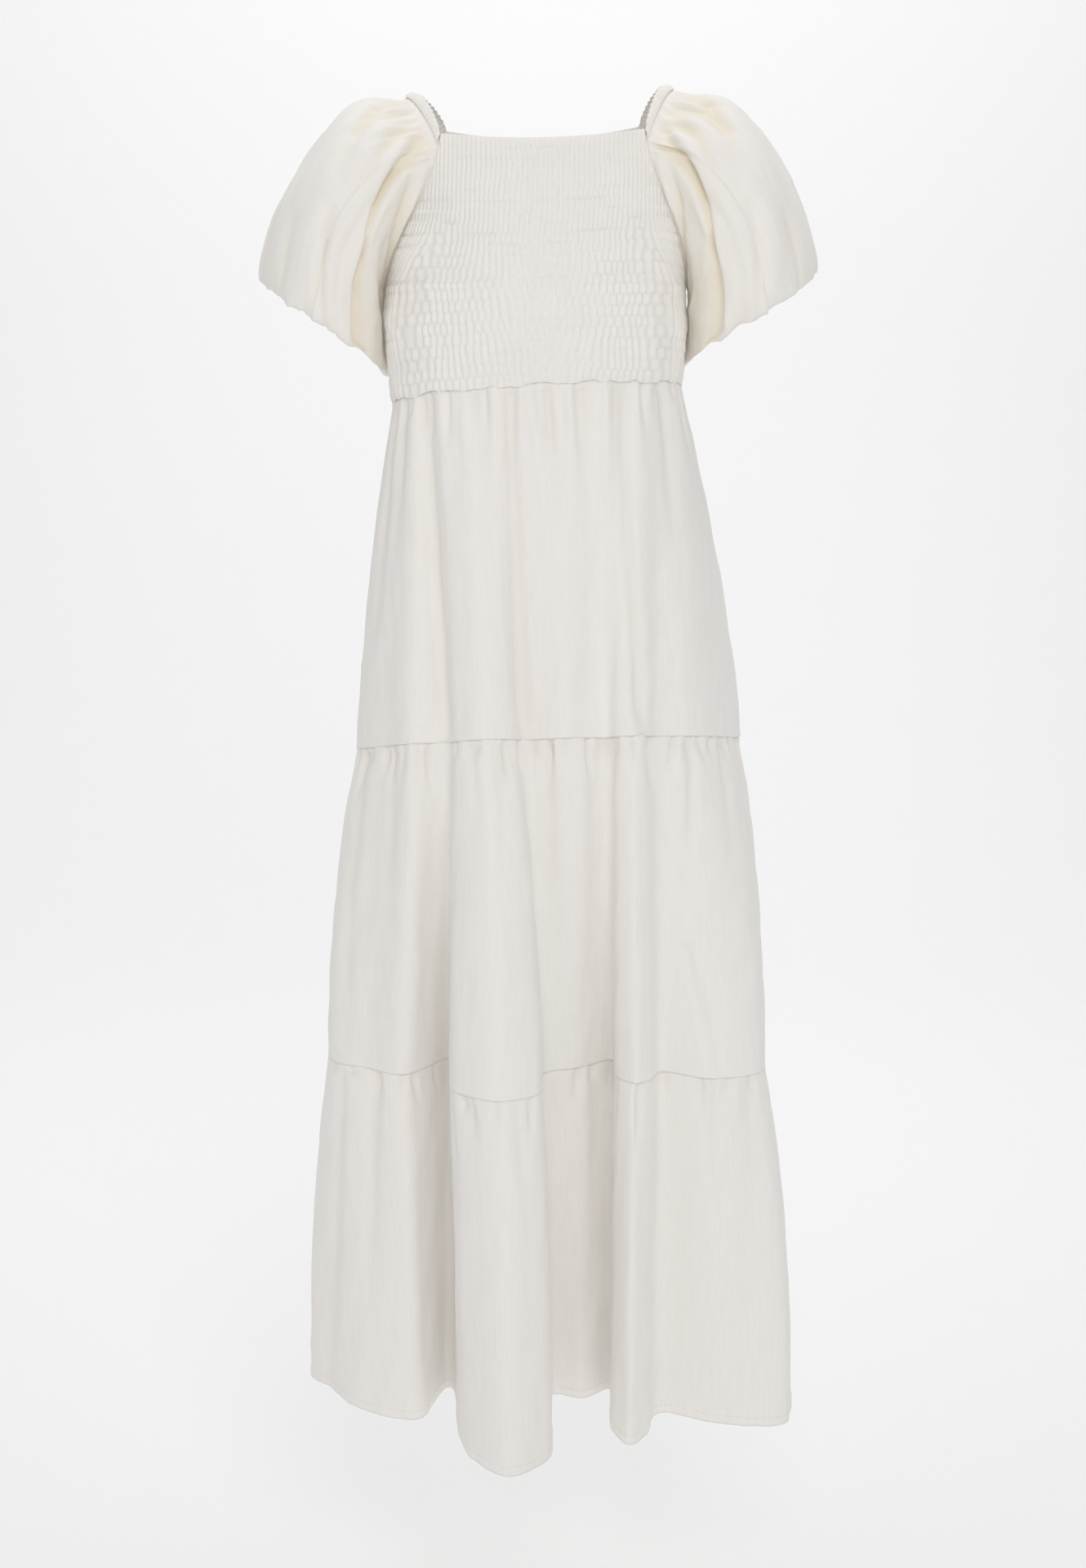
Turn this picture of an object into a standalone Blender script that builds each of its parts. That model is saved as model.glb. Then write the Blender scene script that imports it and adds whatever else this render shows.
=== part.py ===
# Puff sleeve dress, as worn: shirred bodice, two puff sleeves, a skirt of three gathered tiers.
# Metres, +Z up, front towards -Y, the wearer's left towards +X. The origin is midway between the
# two shoulders, at the level of the sleeves' neck edges.
import math

import bpy
import numpy as np

# Driving dimensions
CLOTH = 0.0016
SEAM_GAP = 0.0003
SMOCK_RISE = 0.0026
MILLI = 0.001
# Look of the plain cloth
IVORY = (0.86, 0.85, 0.81)
ROUGHNESS = 0.85
EDGE_ANGLE = math.radians(60)

# Torso sections of a general figure, one row a height
# height, half width, front depth, back depth, centre x (mm)
TORSO = (
    (0, 118, 76, 70, 0),
    (-30, 122, 84, 78, 0),
    (-60, 127, 97, 90, 0),
    (-90, 133, 108, 98, 0),
    (-126, 137.5, 119, 104, -2),
    (-150, 138.5, 125, 105, -4),
    (-177, 138, 130, 104, -6),
    (-207, 140.5, 131, 101, -7.5),
    (-237, 139, 125, 95, -7),
    (-262, 136.5, 116, 90, -6.5),
    (-290, 136, 110, 87, -6),
    (-320, 137, 110, 88, -5),
)
TORSO_ROUNDNESS = 2.25

# Neckline, armhole and waist
NECK = {"front": (-0.0485, 0.0065), "back": (-0.036, 0.006)}
NECK_HALF = 0.086
NECK_TILT = 0.023
NECK_CORNER_ANGLE = 46.0
UNDERARM_HEIGHT = -0.177
ARMHOLE_CURVE = 0.75
WAIST = {"level": -0.277, "front_lift": 0.11, "tilt": 0.06}
# A seam's lift in front begins this far forward of the middle and eases in over the second distance
LIFT_START = 0.01
LIFT_EASE = 0.02
# How close to a panel's side edge its rows bend to the armhole, and its edge point is moved
EDGE_BEND = 4
EDGE_SHIFT = 8
HEIGHT_STEPS = 8

# Shirring: elastic rows about 10 mm apart, with a row of small puffs between each and the next
SHIRRING_ROWS = 23
ARMHOLE_ROWS = 13
SHIRRING_COLUMNS = 22
INNER_COLUMNS = 11
PUFF_DIFFERENCE = 0.28
# Shares of the panel over which the puffs rise from the neck edge, the sides and the waist seam
NECK_HEM_SHARE = 0.03
SIDE_EDGE_SHARE = 1 / 30
WAIST_EDGE_SHARE = 1 / 40

# Skirt levels below the waist
SEAM_1 = {"level": -0.611, "front_lift": 0.21, "tilt": 0.03}
SEAM_2 = {"level": -0.927, "front_lift": 0.0, "tilt": 0.0}
HEM_LEVEL = -1.2975
HEM_RISE = 0.10
HEM_RISE_DEPTH = 0.17
HEM_FRONT = -0.15

# Fold lines of the skirt, one row a crest or valley, from the right side seam round the front
# name, waist angle from centre front (degrees), then x, y at seam 1, at seam 2 and at the hem (mm),
# and how many columns of cloth lie between it and the next line
FOLD_LINES = (
    ("right_side", -90, -181, 12, -213, 8, -240, 52, 3),
    ("right_facet", -72, -168, -32, -200, -20, -216, 14, 3),
    ("right_crease", -60, -150, -58, -176, -32, -176, -30, 3),
    ("right_crest", -54, -120, -92, -138, -58, -130, -44, 4),
    ("right_valley", -46, -90, -88, -94, -2, -98, 18, 4),
    ("long_fold_edge_a", -36, -79, -112, -78, -122, -66, -122, 3),
    ("long_fold_crest", -26, -55, -128, -42, -146, -33, -152, 3),
    ("long_fold_edge_b", -18, -30, -118, -8, -128, 0, -128, 4),
    ("centre_valley", -9, -18, -97, 6, -48, 17, 4, 4),
    ("centre_crest", 8, 20, -112, 33, -36, 40, -4, 4),
    ("narrow_valley", 24, 60, -94, 66, -8, 66, 14, 4),
    ("narrow_fold_edge_a", 33, 70, -110, 75, -74, 71, -72, 2),
    ("narrow_fold_crest", 38, 83, -115, 89, -88, 85, -94, 2),
    ("narrow_fold_edge_b", 43, 95, -108, 103, -76, 100, -76, 3),
    ("left_step", 51, 105, -96, 113, -50, 114, -34, 4),
    ("left_panel", 62, 137, -82, 162, -72, 177, -54, 4),
    ("left_corner", 75, 170, -44, 208, -54, 240, -54, 4),
    ("left_side", 90, 192, 26, 218, 8, 244, 34, 4),
    ("back_crest_1", 108, 168, 80, 198, 88, 216, 112, 4),
    ("back_valley_1", 122, 130, 92, 150, 86, 166, 76, 4),
    ("back_crest_2", 138, 98, 124, 118, 150, 128, 170, 4),
    ("back_valley_2", 152, 62, 118, 72, 110, 78, 94, 4),
    ("back_crest_3", 168, 28, 134, 34, 164, 38, 188, 4),
    ("back_valley_3", 184, -14, 126, -12, 118, -10, 100, 4),
    ("back_crest_4", 200, -56, 132, -62, 160, -66, 182, 4),
    ("back_valley_4", 216, -90, 112, -100, 104, -106, 92, 4),
    ("back_crest_5", 232, -128, 102, -148, 128, -160, 148, 4),
    ("back_valley_5", 250, -158, 60, -184, 66, -198, 92, 3),
)
BACK_START = 17
BACK_ROUNDNESS = 1.9

# Skirt tiers: how fast the cloth swells out below the seam, and the gathers
# name, power of the swell, gather height (mm), share of the length over which the gathers fade,
# and the rows of cloth as shares of the tier's length
TIERS = (
    ("upper", 1.35, 2.2, 0.8, (0.0, 0.07, 0.28, 0.6, 1.0)),
    ("middle", 1.9, 3.0, 0.5, (0.0, 0.07, 0.2, 0.42, 0.7, 1.0)),
    ("lower", 2.0, 3.0, 0.45, (0.0, 0.07, 0.2, 0.42, 0.7, 1.0)),
)
GATHER_AT_SEAM = 0.35
GATHER_START = 0.06
GATHER_LEAST = 0.55
# How sharply the swell changes between the parts that lean out and the parts that fall back
SWELL_CHANGE = 1.5

# Neck edge over the shoulder: an elastic casing from the front corner to the back corner
CASING_WIDTH = 0.009
CASING_PUFF = 0.0007
CASING_LEAN = (0.95, -0.30)
SHOULDER_OUT = 0.117
SHOULDER_TOP = -0.0035
# How the neck edge bends outwards and upwards from each corner to the shoulder
NECK_EDGE_OUT = 1.2
NECK_EDGE_UP = 2.1

# Sleeve: its columns start at the front neck corner, run over the shoulder to the back corner, down
# the back of the armhole and up the front
NECK_COLUMNS = 20
SLEEVE_COLUMNS = NECK_COLUMNS + 2 * (ARMHOLE_ROWS - 1)
TOP_COLUMN = NECK_COLUMNS / 2
SLEEVE_ROWS = (0.0, 0.05, 0.13, 0.25, 0.4, 0.55, 0.67, 0.75, 0.84, 0.92, 1.0)
# Lengthwise lines of the puff, one row a line: column, then outward, y, z (mm) of the upper swell,
# of the lower swell and of the turn above the cuff
PUFF_LINES = (
    (0, 132, -96, -66, 190, -106, -134, 208, -84, -208),
    (5, 158, -66, -26, 222, -80, -108, 243, -60, -188),
    (10, 172, 0, -12, 242, 0, -98, 262, 0, -172),
    (15, 160, 66, -25, 224, 80, -108, 244, 60, -186),
    (20, 134, 94, -62, 191, 104, -132, 208, 84, -206),
    (26, 140, 84, -132, 166, 84, -188, 167, 62, -238),
    (32, 150, 11, -198, 143.6, 28, -231, 151.6, 29, -256),
    (38, 138, -86, -128, 164, -88, -181, 174, -71, -232),
)
CUFF = {
    "centre": (0.201, 0.0, -0.191),
    "half_along": 0.044,
    "half_across": 0.046,
    "slope": math.radians(35),
    "height": 0.009,
}
# The puff follows the torso's sway within the first of these distances out, and not beyond the second
TORSO_REACH = (0.12, 0.19)
# Folds pressed into each puff, one row a fold: column at the top and at the cuff, start and end
# along the sleeve, half width in columns, depth (mm, inwards)
SLEEVE_FOLDS = (
    (7.0, 1.5, 0.12, 0.84, 1.3, 8.0),
    (9.0, 7.5, 0.02, 0.42, 0.9, 5.0),
    (3.0, 3.2, 0.03, 0.40, 0.9, 5.5),
    (-0.5, -4.0, 0.10, 0.82, 1.1, 8.0),
    (5.4, 6.0, 0.05, 0.30, 0.8, 4.0),
    (8.2, 6.0, 0.45, 0.86, 1.0, 4.5),
    (-3.5, -7.0, 0.15, 0.80, 1.0, 6.0),
    (13.0, 17.5, 0.12, 0.84, 1.3, 8.0),
    (11.2, 12.0, 0.02, 0.42, 0.9, 5.0),
    (17.0, 18.0, 0.03, 0.45, 1.0, 6.0),
    (20.5, 23.5, 0.10, 0.82, 1.1, 8.0),
    (23.5, 27.0, 0.15, 0.80, 1.0, 6.0),
)
# Right and left differ a little as the dress is worn: outward shift of the puff and of its cuff,
# and rise of the puff (m)
SIDES = {
    "right": {"sign": -1.0, "outward": 0.0025, "cuff_outward": 0.007, "rise": 0.0},
    "left": {"sign": 1.0, "outward": -0.004, "cuff_outward": -0.006, "rise": 0.007},
}
GATHER_SEED = 7
# Gathers of a sleeve: height at the neck edge and at the cuff, share of it along the armhole, and
# the shares of the sleeve's length over which they start and end at the neck edge and at the cuff
NECK_GATHER = 0.0018
CUFF_GATHER = 0.0028
ARMHOLE_GATHER = 0.3
NECK_GATHER_LENGTHS = (0.05, 0.3)
CUFF_GATHER_LENGTHS = (0.2, 0.1, 0.08)
# A fold fades towards its two ends, the upper end sooner
FOLD_FADE = 0.7
FOLD_UPPER = 0.8
# The wall leans as the bodice does along the seam only where the two lie this much alike (cosine)
ALIKE = (0.2, 0.7)


def table(rows):
    """The rows of a table of millimetres as an array in metres."""
    return np.array(rows, float) * MILLI


def smooth_step(value):
    value = np.clip(value, 0.0, 1.0)
    return value * value * (3 - 2 * value)


def torso_at(height):
    """Half width, front depth, back depth and centre x of the figure at a height."""
    rows = table(TORSO)[::-1]
    return [np.interp(height, rows[:, 0], rows[:, k]) for k in range(1, 5)]


def torso_point(angle, height):
    """A point on the figure: angle from centre front in radians, positive towards the wearer's left."""
    half, front, back, centre = torso_at(height)
    sine, cosine = np.sin(angle), np.cos(angle)
    depth = np.where(cosine >= 0, front, back)
    power = 2 / TORSO_ROUNDNESS
    x = centre + half * np.sign(sine) * np.abs(sine) ** power
    y = -depth * np.sign(cosine) * np.abs(cosine) ** power
    return np.stack([x, y, height + 0 * x], -1)


def torso_normal(angle, height):
    """Outward normal of the figure, level with the ground."""
    step = 0.01
    along = torso_point(angle + step, height) - torso_point(angle - step, height)
    normal = np.stack([along[..., 1], -along[..., 0], 0 * along[..., 0]], -1)
    return normal / np.linalg.norm(normal, axis=-1, keepdims=True)


def seam_height(level, x, y):
    """Height of a level seam that the bust lifts in front."""
    lifted = (-y + np.sqrt(y * y + LIFT_EASE**2)) / 2 - LIFT_START
    return level["level"] + level["front_lift"] * np.maximum(lifted, 0) + level["tilt"] * x


def waist_point(angle):
    """The point of the waist seam at an angle round the figure."""
    point = torso_point(angle, WAIST["level"] + 0 * angle)
    height = seam_height(WAIST, point[..., 0], point[..., 1])
    return torso_point(angle, height)


def neck_height(side, x):
    centre, corner = NECK[side]
    return centre + corner * (x / NECK_HALF) ** 2 + NECK_TILT * x


def armhole_angle(height, top):
    """Half angle of a bodice panel: full at the underarm and below, narrow at the neckline."""
    share = np.clip((height - UNDERARM_HEIGHT) / (top - UNDERARM_HEIGHT), 0, 1)
    narrowing = np.sin(share * math.pi / 2) ** ARMHOLE_CURVE
    return np.radians(90.0 - (90.0 - NECK_CORNER_ANGLE) * narrowing)


def bodice_point(side, across, down, beyond=-0.5 * SEAM_GAP):
    """A point of a bodice panel's cloth and its normal, or a point a little beyond the panel's edge.
    across runs -1 to 1, down runs 0 at the neck to 1 at the waist."""
    corner = NECK[side][0] + NECK[side][1]
    height = corner + 0.0 * across
    underarm = ARMHOLE_ROWS / SHIRRING_ROWS
    tent = np.minimum(down / underarm, (1 - down) / (1 - underarm))
    for _ in range(HEIGHT_STEPS):
        angle = across * armhole_angle(height, corner)
        turned = angle if side == "front" else math.pi - angle
        neck = neck_height(side, torso_point(turned, height)[..., 0])
        bottom = waist_point(turned)[..., 2]
        at_underarm = neck + (bottom - neck) * underarm
        bend = tent * np.abs(across) ** EDGE_BEND
        height = neck + (bottom - neck) * down + (UNDERARM_HEIGHT - at_underarm) * bend
    angle = angle + np.sign(across) * np.abs(across) ** EDGE_SHIFT * beyond / torso_at(height)[0]
    turned = angle if side == "front" else math.pi - angle
    return torso_point(turned, height), torso_normal(turned, height)


def smock_rise(across, down):
    """Height of the shirred puffs, 0 on each elastic row, in brick order from row to row."""
    row = down * SHIRRING_ROWS
    column = (across + 1) / 2 * SHIRRING_COLUMNS
    swell = np.abs(np.sin(math.pi * row))
    brick = 1 - PUFF_DIFFERENCE + PUFF_DIFFERENCE * np.cos(math.pi * (column + np.floor(row)))
    border = smooth_step(down / NECK_HEM_SHARE) * smooth_step((1 - np.abs(across)) / SIDE_EDGE_SHARE)
    return SMOCK_RISE * swell * brick * border * smooth_step((1 - down) / WAIST_EDGE_SHARE)


def fresh_mesh(name, points, faces, colour):
    """A named object from points and faces, smooth shaded, with its own fabric material."""
    mesh = bpy.data.meshes.new(name)
    mesh.from_pydata([tuple(p) for p in points], [], faces)
    mesh.validate()
    mesh.shade_smooth()
    mesh.set_sharp_from_angle(angle=EDGE_ANGLE)
    material = bpy.data.materials.new(name + "_cloth")
    material.use_nodes = True
    shader = material.node_tree.nodes["Principled BSDF"]
    shader.inputs["Base Color"].default_value = (*colour, 1.0)
    shader.inputs["Roughness"].default_value = ROUGHNESS
    shader.inputs["Metallic"].default_value = 0.0
    mesh.materials.append(material)
    thing = bpy.data.objects.new(name, mesh)
    bpy.context.scene.collection.objects.link(thing)
    return thing


def grid_faces(rows, columns, loop, start=0, flip=False):
    """Triangles of a grid of points, row by row."""
    faces = []
    for r in range(rows - 1):
        for c in range(columns if loop else columns - 1):
            a = start + r * columns + c
            b = start + r * columns + (c + 1) % columns
            pair = [(a, b, b + columns), (a, b + columns, a + columns)]
            faces += [face[::-1] for face in pair] if flip else pair
    return faces


def strip_faces(first, second, loop=False):
    """Triangles between two runs of points that may differ in number."""
    if loop:
        first, second = first + first[:1], second + second[:1]
    faces, i, j = [], 0, 0
    while i < len(first) - 1 or j < len(second) - 1:
        ahead = (i + 1) / max(len(first) - 1, 1) <= (j + 1) / max(len(second) - 1, 1)
        if j == len(second) - 1 or (i < len(first) - 1 and ahead):
            faces.append((first[i], first[i + 1], second[j]))
            i += 1
        else:
            faces.append((first[i], second[j + 1], second[j]))
            j += 1
    return faces


def cloth_wall(name, outer, inner, loop, colour):
    """A closed wall of cloth between an outer and an inner grid of points."""
    start = outer.shape[0] * outer.shape[1]
    points = np.concatenate([outer.reshape(-1, 3), inner.reshape(-1, 3)])
    faces = grid_faces(*outer.shape[:2], loop, flip=True)
    faces += grid_faces(*inner.shape[:2], loop, start)
    out = np.arange(start).reshape(outer.shape[:2])
    into = start + np.arange(inner.shape[0] * inner.shape[1]).reshape(inner.shape[:2])
    faces += strip_faces(list(out[0]), list(into[0]), loop)
    faces += strip_faces(list(into[-1]), list(out[-1]), loop)
    if not loop:
        faces += strip_faces(list(into[:, 0]), list(out[:, 0]))
        faces += strip_faces(list(out[:, -1]), list(into[:, -1]))
    return fresh_mesh(name, points, [tuple(int(i) for i in face) for face in faces], colour)


def make_bodice(side, colour):
    """A shirred panel: puffs raised in its outer points, a plain wall inside."""

    def panel(rows, columns, lift):
        places = np.linspace(-1, 1, columns + 1) * (1 if side == "front" else -1)
        across, down = np.meshgrid(places, np.linspace(0, 1, rows + 1))
        point, normal = bodice_point(side, across, down)
        rise = smock_rise(across, down) if lift else 0 * across - CLOTH
        point = point + normal * rise[..., None]
        point[-1, :, 2] += SEAM_GAP / 2
        return point

    outer = panel(2 * SHIRRING_ROWS, SHIRRING_COLUMNS, True)
    for edge in (0, -1):
        outer[1:-1:2, edge] = (outer[0:-2:2, edge] + outer[2::2, edge]) / 2
    inner = panel(SHIRRING_ROWS, INNER_COLUMNS, False)
    return cloth_wall("bodice_" + side, outer, inner, False, colour)


def closed_curve(points, share, roundness=1.0):
    """Points of a smooth closed curve through rows of points, at a place counted in rows.
    roundness stretches the tangents at the rows, for fuller crests and valleys."""
    count = points.shape[0]
    full = (np.ones(count) * roundness)[:, None]
    low = np.floor(share).astype(int) % count
    part = (share - np.floor(share))[:, None]
    p0, p1, p2, p3 = [points[(low + k) % count] for k in (-1, 0, 1, 2)]
    pairs = ((p0, p1), (p1, p2), (p2, p3))
    d0, d1, d2 = [np.linalg.norm(b - a, axis=-1, keepdims=True) + SEAM_GAP for a, b in pairs]
    leaving, arriving = tangents(p0, p1, p2, p3, d0, d1, d2)
    return curve_between(p1, p2, full[low] * leaving, full[(low + 1) % count] * arriving, part)


def tangents(p0, p1, p2, p3, d0, d1, d2):
    """Tangents at p1 and p2 of a smooth curve through four points that lie d0, d1 and d2 apart."""
    leaving = d1 * (d1 * (p1 - p0) / d0 + d0 * (p2 - p1) / d1) / (d0 + d1)
    arriving = d1 * (d1 * (p3 - p2) / d2 + d2 * (p2 - p1) / d1) / (d1 + d2)
    return leaving, arriving


def curve_between(start, end, leaving, arriving, part):
    """A smooth curve between two points with given tangents."""
    t2, t3 = part**2, part**3
    curve = (2 * t3 - 3 * t2 + 1) * start + (3 * t2 - 2 * t3) * end
    return curve + (t3 - 2 * t2 + part) * leaving + (t3 - t2) * arriving


def column_places():
    """Where the columns of cloth lie, counted in fold lines, and the column that starts the back."""
    places = []
    for index, line in enumerate(FOLD_LINES):
        if index == BACK_START:
            back = len(places)
        places += [index + k / line[-1] for k in range(line[-1])]
    return np.array(places), back


def skirt_levels(places):
    """The skirt's outline at the waist, at the two seams and at the hem, at the given places."""
    angles = np.radians([line[1] for line in FOLD_LINES])
    unwrapped = np.append(angles, angles[0] + 2 * math.pi)
    angle = np.interp(places % len(FOLD_LINES), np.arange(len(unwrapped)), unwrapped)
    levels = [waist_point(angle)]
    for first, level in ((2, SEAM_1), (4, SEAM_2), (6, None)):
        outline = table([line[first : first + 2] for line in FOLD_LINES])
        roundness = np.where(np.arange(len(outline)) > BACK_START, BACK_ROUNDNESS, 1.0)
        x, y = closed_curve(outline, places, roundness).T
        if level:
            z = seam_height(level, x, y)
        else:
            z = HEM_LEVEL + HEM_RISE * np.clip(y - HEM_FRONT, 0, HEM_RISE_DEPTH)
        levels.append(np.stack([x, y, z], -1))
    return levels


def gather_heights(columns, height, seed):
    """One height for each column: crest and valley in turn, each a little different."""
    chance = np.random.default_rng(seed)
    size = height * chance.uniform(GATHER_LEAST, 1.0, columns)
    return size * np.where(np.arange(columns) % 2 == 0, 1.0, -1.0)


def level_normal(ring):
    """Outward normals of a closed ring of points, level with the ground."""
    along = np.roll(ring, -1, 0) - np.roll(ring, 1, 0)
    normal = np.stack([along[:, 1], -along[:, 0], 0 * along[:, 0]], -1)
    return normal / np.linalg.norm(normal, axis=-1, keepdims=True)


def make_tier(index, colour):
    """One gathered tier of the skirt, as a front and a back panel."""
    name, swell, gather, fade, rows = TIERS[index]
    places, back = column_places()
    count = len(places)
    top, bottom = [skirt_levels(places)[index + k] for k in (0, 1)]
    waves = gather_heights(count, gather * MILLI, GATHER_SEED + index)
    fall = bottom - top
    level = np.array([1.0, 1.0, 0.0])
    outward = (fall * level_normal(top) * level).sum(1) / np.linalg.norm(fall * level, axis=1)
    power = 1 + (swell - 1) * smooth_step(outward * SWELL_CHANGE + 0.5)
    outer, inner = [], []
    for share in rows:
        flare = 1 - (1 - share) ** power
        ring = top + fall * np.stack([flare, flare, share + 0 * flare], -1)
        normal = level_normal(ring)
        fading = 1 - smooth_step((share - GATHER_START) / fade)
        fading *= GATHER_AT_SEAM + (1 - GATHER_AT_SEAM) * smooth_step(share / GATHER_START)
        ring = ring + normal * (waves * fading)[:, None]
        ring[:, 2] += SEAM_GAP / 2 * ((share == 1) * (index < 2) - (share == 0))
        outer.append(ring)
        inner.append(ring - normal * CLOTH)
    outer, inner = np.array(outer), np.array(inner)
    for side, first, last in (("front", 0, back), ("back", back, count)):
        picked = np.arange(first, last + 1) % count
        halves = [grid[:, picked].copy() for grid in (outer, inner)]
        for grid in halves:
            for edge, beside in ((0, 1), (-1, -2)):
                step = grid[:, beside] - grid[:, edge]
                step /= np.linalg.norm(step, axis=-1, keepdims=True)
                grid[:, edge] += step * SEAM_GAP / 2
        cloth_wall(f"skirt_{name}_{side}", halves[0], halves[1], False, colour)


def armhole_edge(panel, sign, row):
    """Points just beyond a bodice panel's armhole edge, and normals, at rows of shirring."""
    row = np.asarray(row, float)
    point, normal = bodice_point(panel, sign + 0 * row, row / SHIRRING_ROWS, 0.5 * SEAM_GAP)
    point[..., 2] += SEAM_GAP * (row / ARMHOLE_ROWS) ** EDGE_BEND
    return point, normal


def casing_frame(share, side):
    """Top edge of the neck casing, its direction down to the sleeve and its outward normal.
    share is 0 at the front corner of the neckline and 1 at the back corner."""
    worn = SIDES[side]
    sign = worn["sign"]
    points, normals = zip(*[armhole_edge(panel, sign, [0, 1]) for panel in ("front", "back")])
    turn = 1 - 2 * share
    near = np.abs(turn)[..., None]
    in_front = (turn > 0)[..., None]
    corner = np.where(in_front, points[0][0], points[1][0])
    foot = np.where(in_front, points[0][1], points[1][1])
    side_normal = np.where(in_front, normals[0][0], normals[1][0])
    shoulder = np.array([sign * (SHOULDER_OUT + worn["outward"]), 0.0, SHOULDER_TOP + worn["rise"]])
    bend = np.concatenate([near**NECK_EDGE_OUT, near, near**NECK_EDGE_UP], -1)
    top = shoulder + (corner - shoulder) * bend
    over = np.array([sign * CASING_LEAN[0], 0.0, CASING_LEAN[1]]) * CASING_WIDTH
    way = over * (1 - near**2) + (foot - corner) * near**2
    normal = np.cross(np.gradient(top, axis=0), way) * -sign
    normal /= np.linalg.norm(normal, axis=-1, keepdims=True)
    at_corner = near**EDGE_SHIFT
    normal = normal * (1 - at_corner) + side_normal * at_corner
    return top, way, normal / np.linalg.norm(normal, axis=-1, keepdims=True)


def sleeve_start(side):
    """The loop in which a sleeve begins, and its normals: the casing's foot, then the armhole."""
    sign = SIDES[side]["sign"]
    top, way, normal = casing_frame(np.linspace(0, 1, NECK_COLUMNS + 1), side)
    back = armhole_edge("back", sign, np.arange(2, ARMHOLE_ROWS + 1))
    front = armhole_edge("front", sign, np.arange(ARMHOLE_ROWS - 1, 1, -1))
    points = np.concatenate([top + way, back[0], front[0]])
    return points, np.concatenate([normal, back[1], front[1]])


def cuff_point(column, side, drop):
    """A point on the sleeve's end; drop moves along the arm, away from the shoulder."""
    worn = SIDES[side]
    turn = 2 * math.pi * (column - TOP_COLUMN) / SLEEVE_COLUMNS
    slope = CUFF["slope"]
    out = CUFF["centre"][0] + worn["cuff_outward"] + CUFF["half_along"] * np.cos(turn) * math.cos(slope)
    z = CUFF["centre"][2] + worn["rise"] + CUFF["half_along"] * np.cos(turn) * math.sin(slope)
    y = CUFF["centre"][1] + CUFF["half_across"] * np.sin(turn)
    out = out + drop * math.sin(slope)
    z = z - drop * math.cos(slope)
    return np.stack([worn["sign"] * out, y, z], -1)


def puff_controls(column, side):
    """The three points that shape the puff at each column of the sleeve."""
    worn = SIDES[side]
    rows = np.array(PUFF_LINES, float)
    ends = np.append(rows[:, 0], SLEEVE_COLUMNS)
    place = np.interp(column % SLEEVE_COLUMNS, ends, np.arange(len(ends)))
    found = closed_curve(table(rows[:, 1:]), place).reshape(-1, 3, 3)
    found[..., 0] = worn["sign"] * (found[..., 0] + worn["outward"])
    found[..., 2] += worn["rise"]
    near_torso = np.clip((TORSO_REACH[1] - np.abs(found[..., 0])) / (TORSO_REACH[1] - TORSO_REACH[0]), 0, 1)
    found[..., 0] += torso_at(found[..., 2])[3] * near_torso
    return found


def open_curve(points, share):
    """Places on a smooth open curve through points: points is (k, columns, 3), share is 0 to 1."""
    first = 2 * points[:1] - points[1:2]
    last = 2 * points[-1:] - points[-2:-1]
    padded = np.concatenate([first, points, last])
    spans = np.linalg.norm(np.diff(points, axis=0), axis=-1).mean(1)
    ends = np.concatenate([[0], np.cumsum(spans)]) / spans.sum()
    index = int(min(np.searchsorted(ends, share, side="right") - 1, len(spans) - 1))
    part = (share - ends[index]) / (ends[index + 1] - ends[index])
    p0, p1, p2, p3 = padded[index : index + 4]
    d0, d1, d2 = [spans[min(max(index + k, 0), len(spans) - 1)] for k in (-1, 0, 1)]
    return curve_between(p1, p2, *tangents(p0, p1, p2, p3, d0, d1, d2), part)


def sleeve_grid(side):
    """The plain puff: a row of points round the sleeve for each share along it."""
    column = np.arange(SLEEVE_COLUMNS)
    controls = puff_controls(column, side)
    end = cuff_point(column, side, 0.0)
    lines = np.stack([sleeve_start(side)[0], *controls.transpose(1, 0, 2), end])
    return np.array([open_curve(lines, share) for share in SLEEVE_ROWS])


def grid_normals(grid, sign):
    """Outward normals of a sleeve's grid."""
    round_it = np.roll(grid, -1, 1) - np.roll(grid, 1, 1)
    along = np.gradient(grid, axis=0)
    normal = np.cross(along, round_it) * sign
    return normal / np.linalg.norm(normal, axis=-1, keepdims=True)


def fold_depth(column, share):
    """How far the pressed folds push the puff in at one row."""
    total = 0.0 * column
    for top, foot, begin, end, width, depth in SLEEVE_FOLDS:
        if not begin < share < end:
            continue
        along = (share - begin) / (end - begin)
        half = SLEEVE_COLUMNS / 2
        apart = (column - top - (foot - top) * along + half) % SLEEVE_COLUMNS - half
        fading = math.sin(math.pi * along**FOLD_UPPER) ** FOLD_FADE
        total = total + depth * MILLI * fading * np.exp(-((apart / width) ** 2))
    return total


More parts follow.
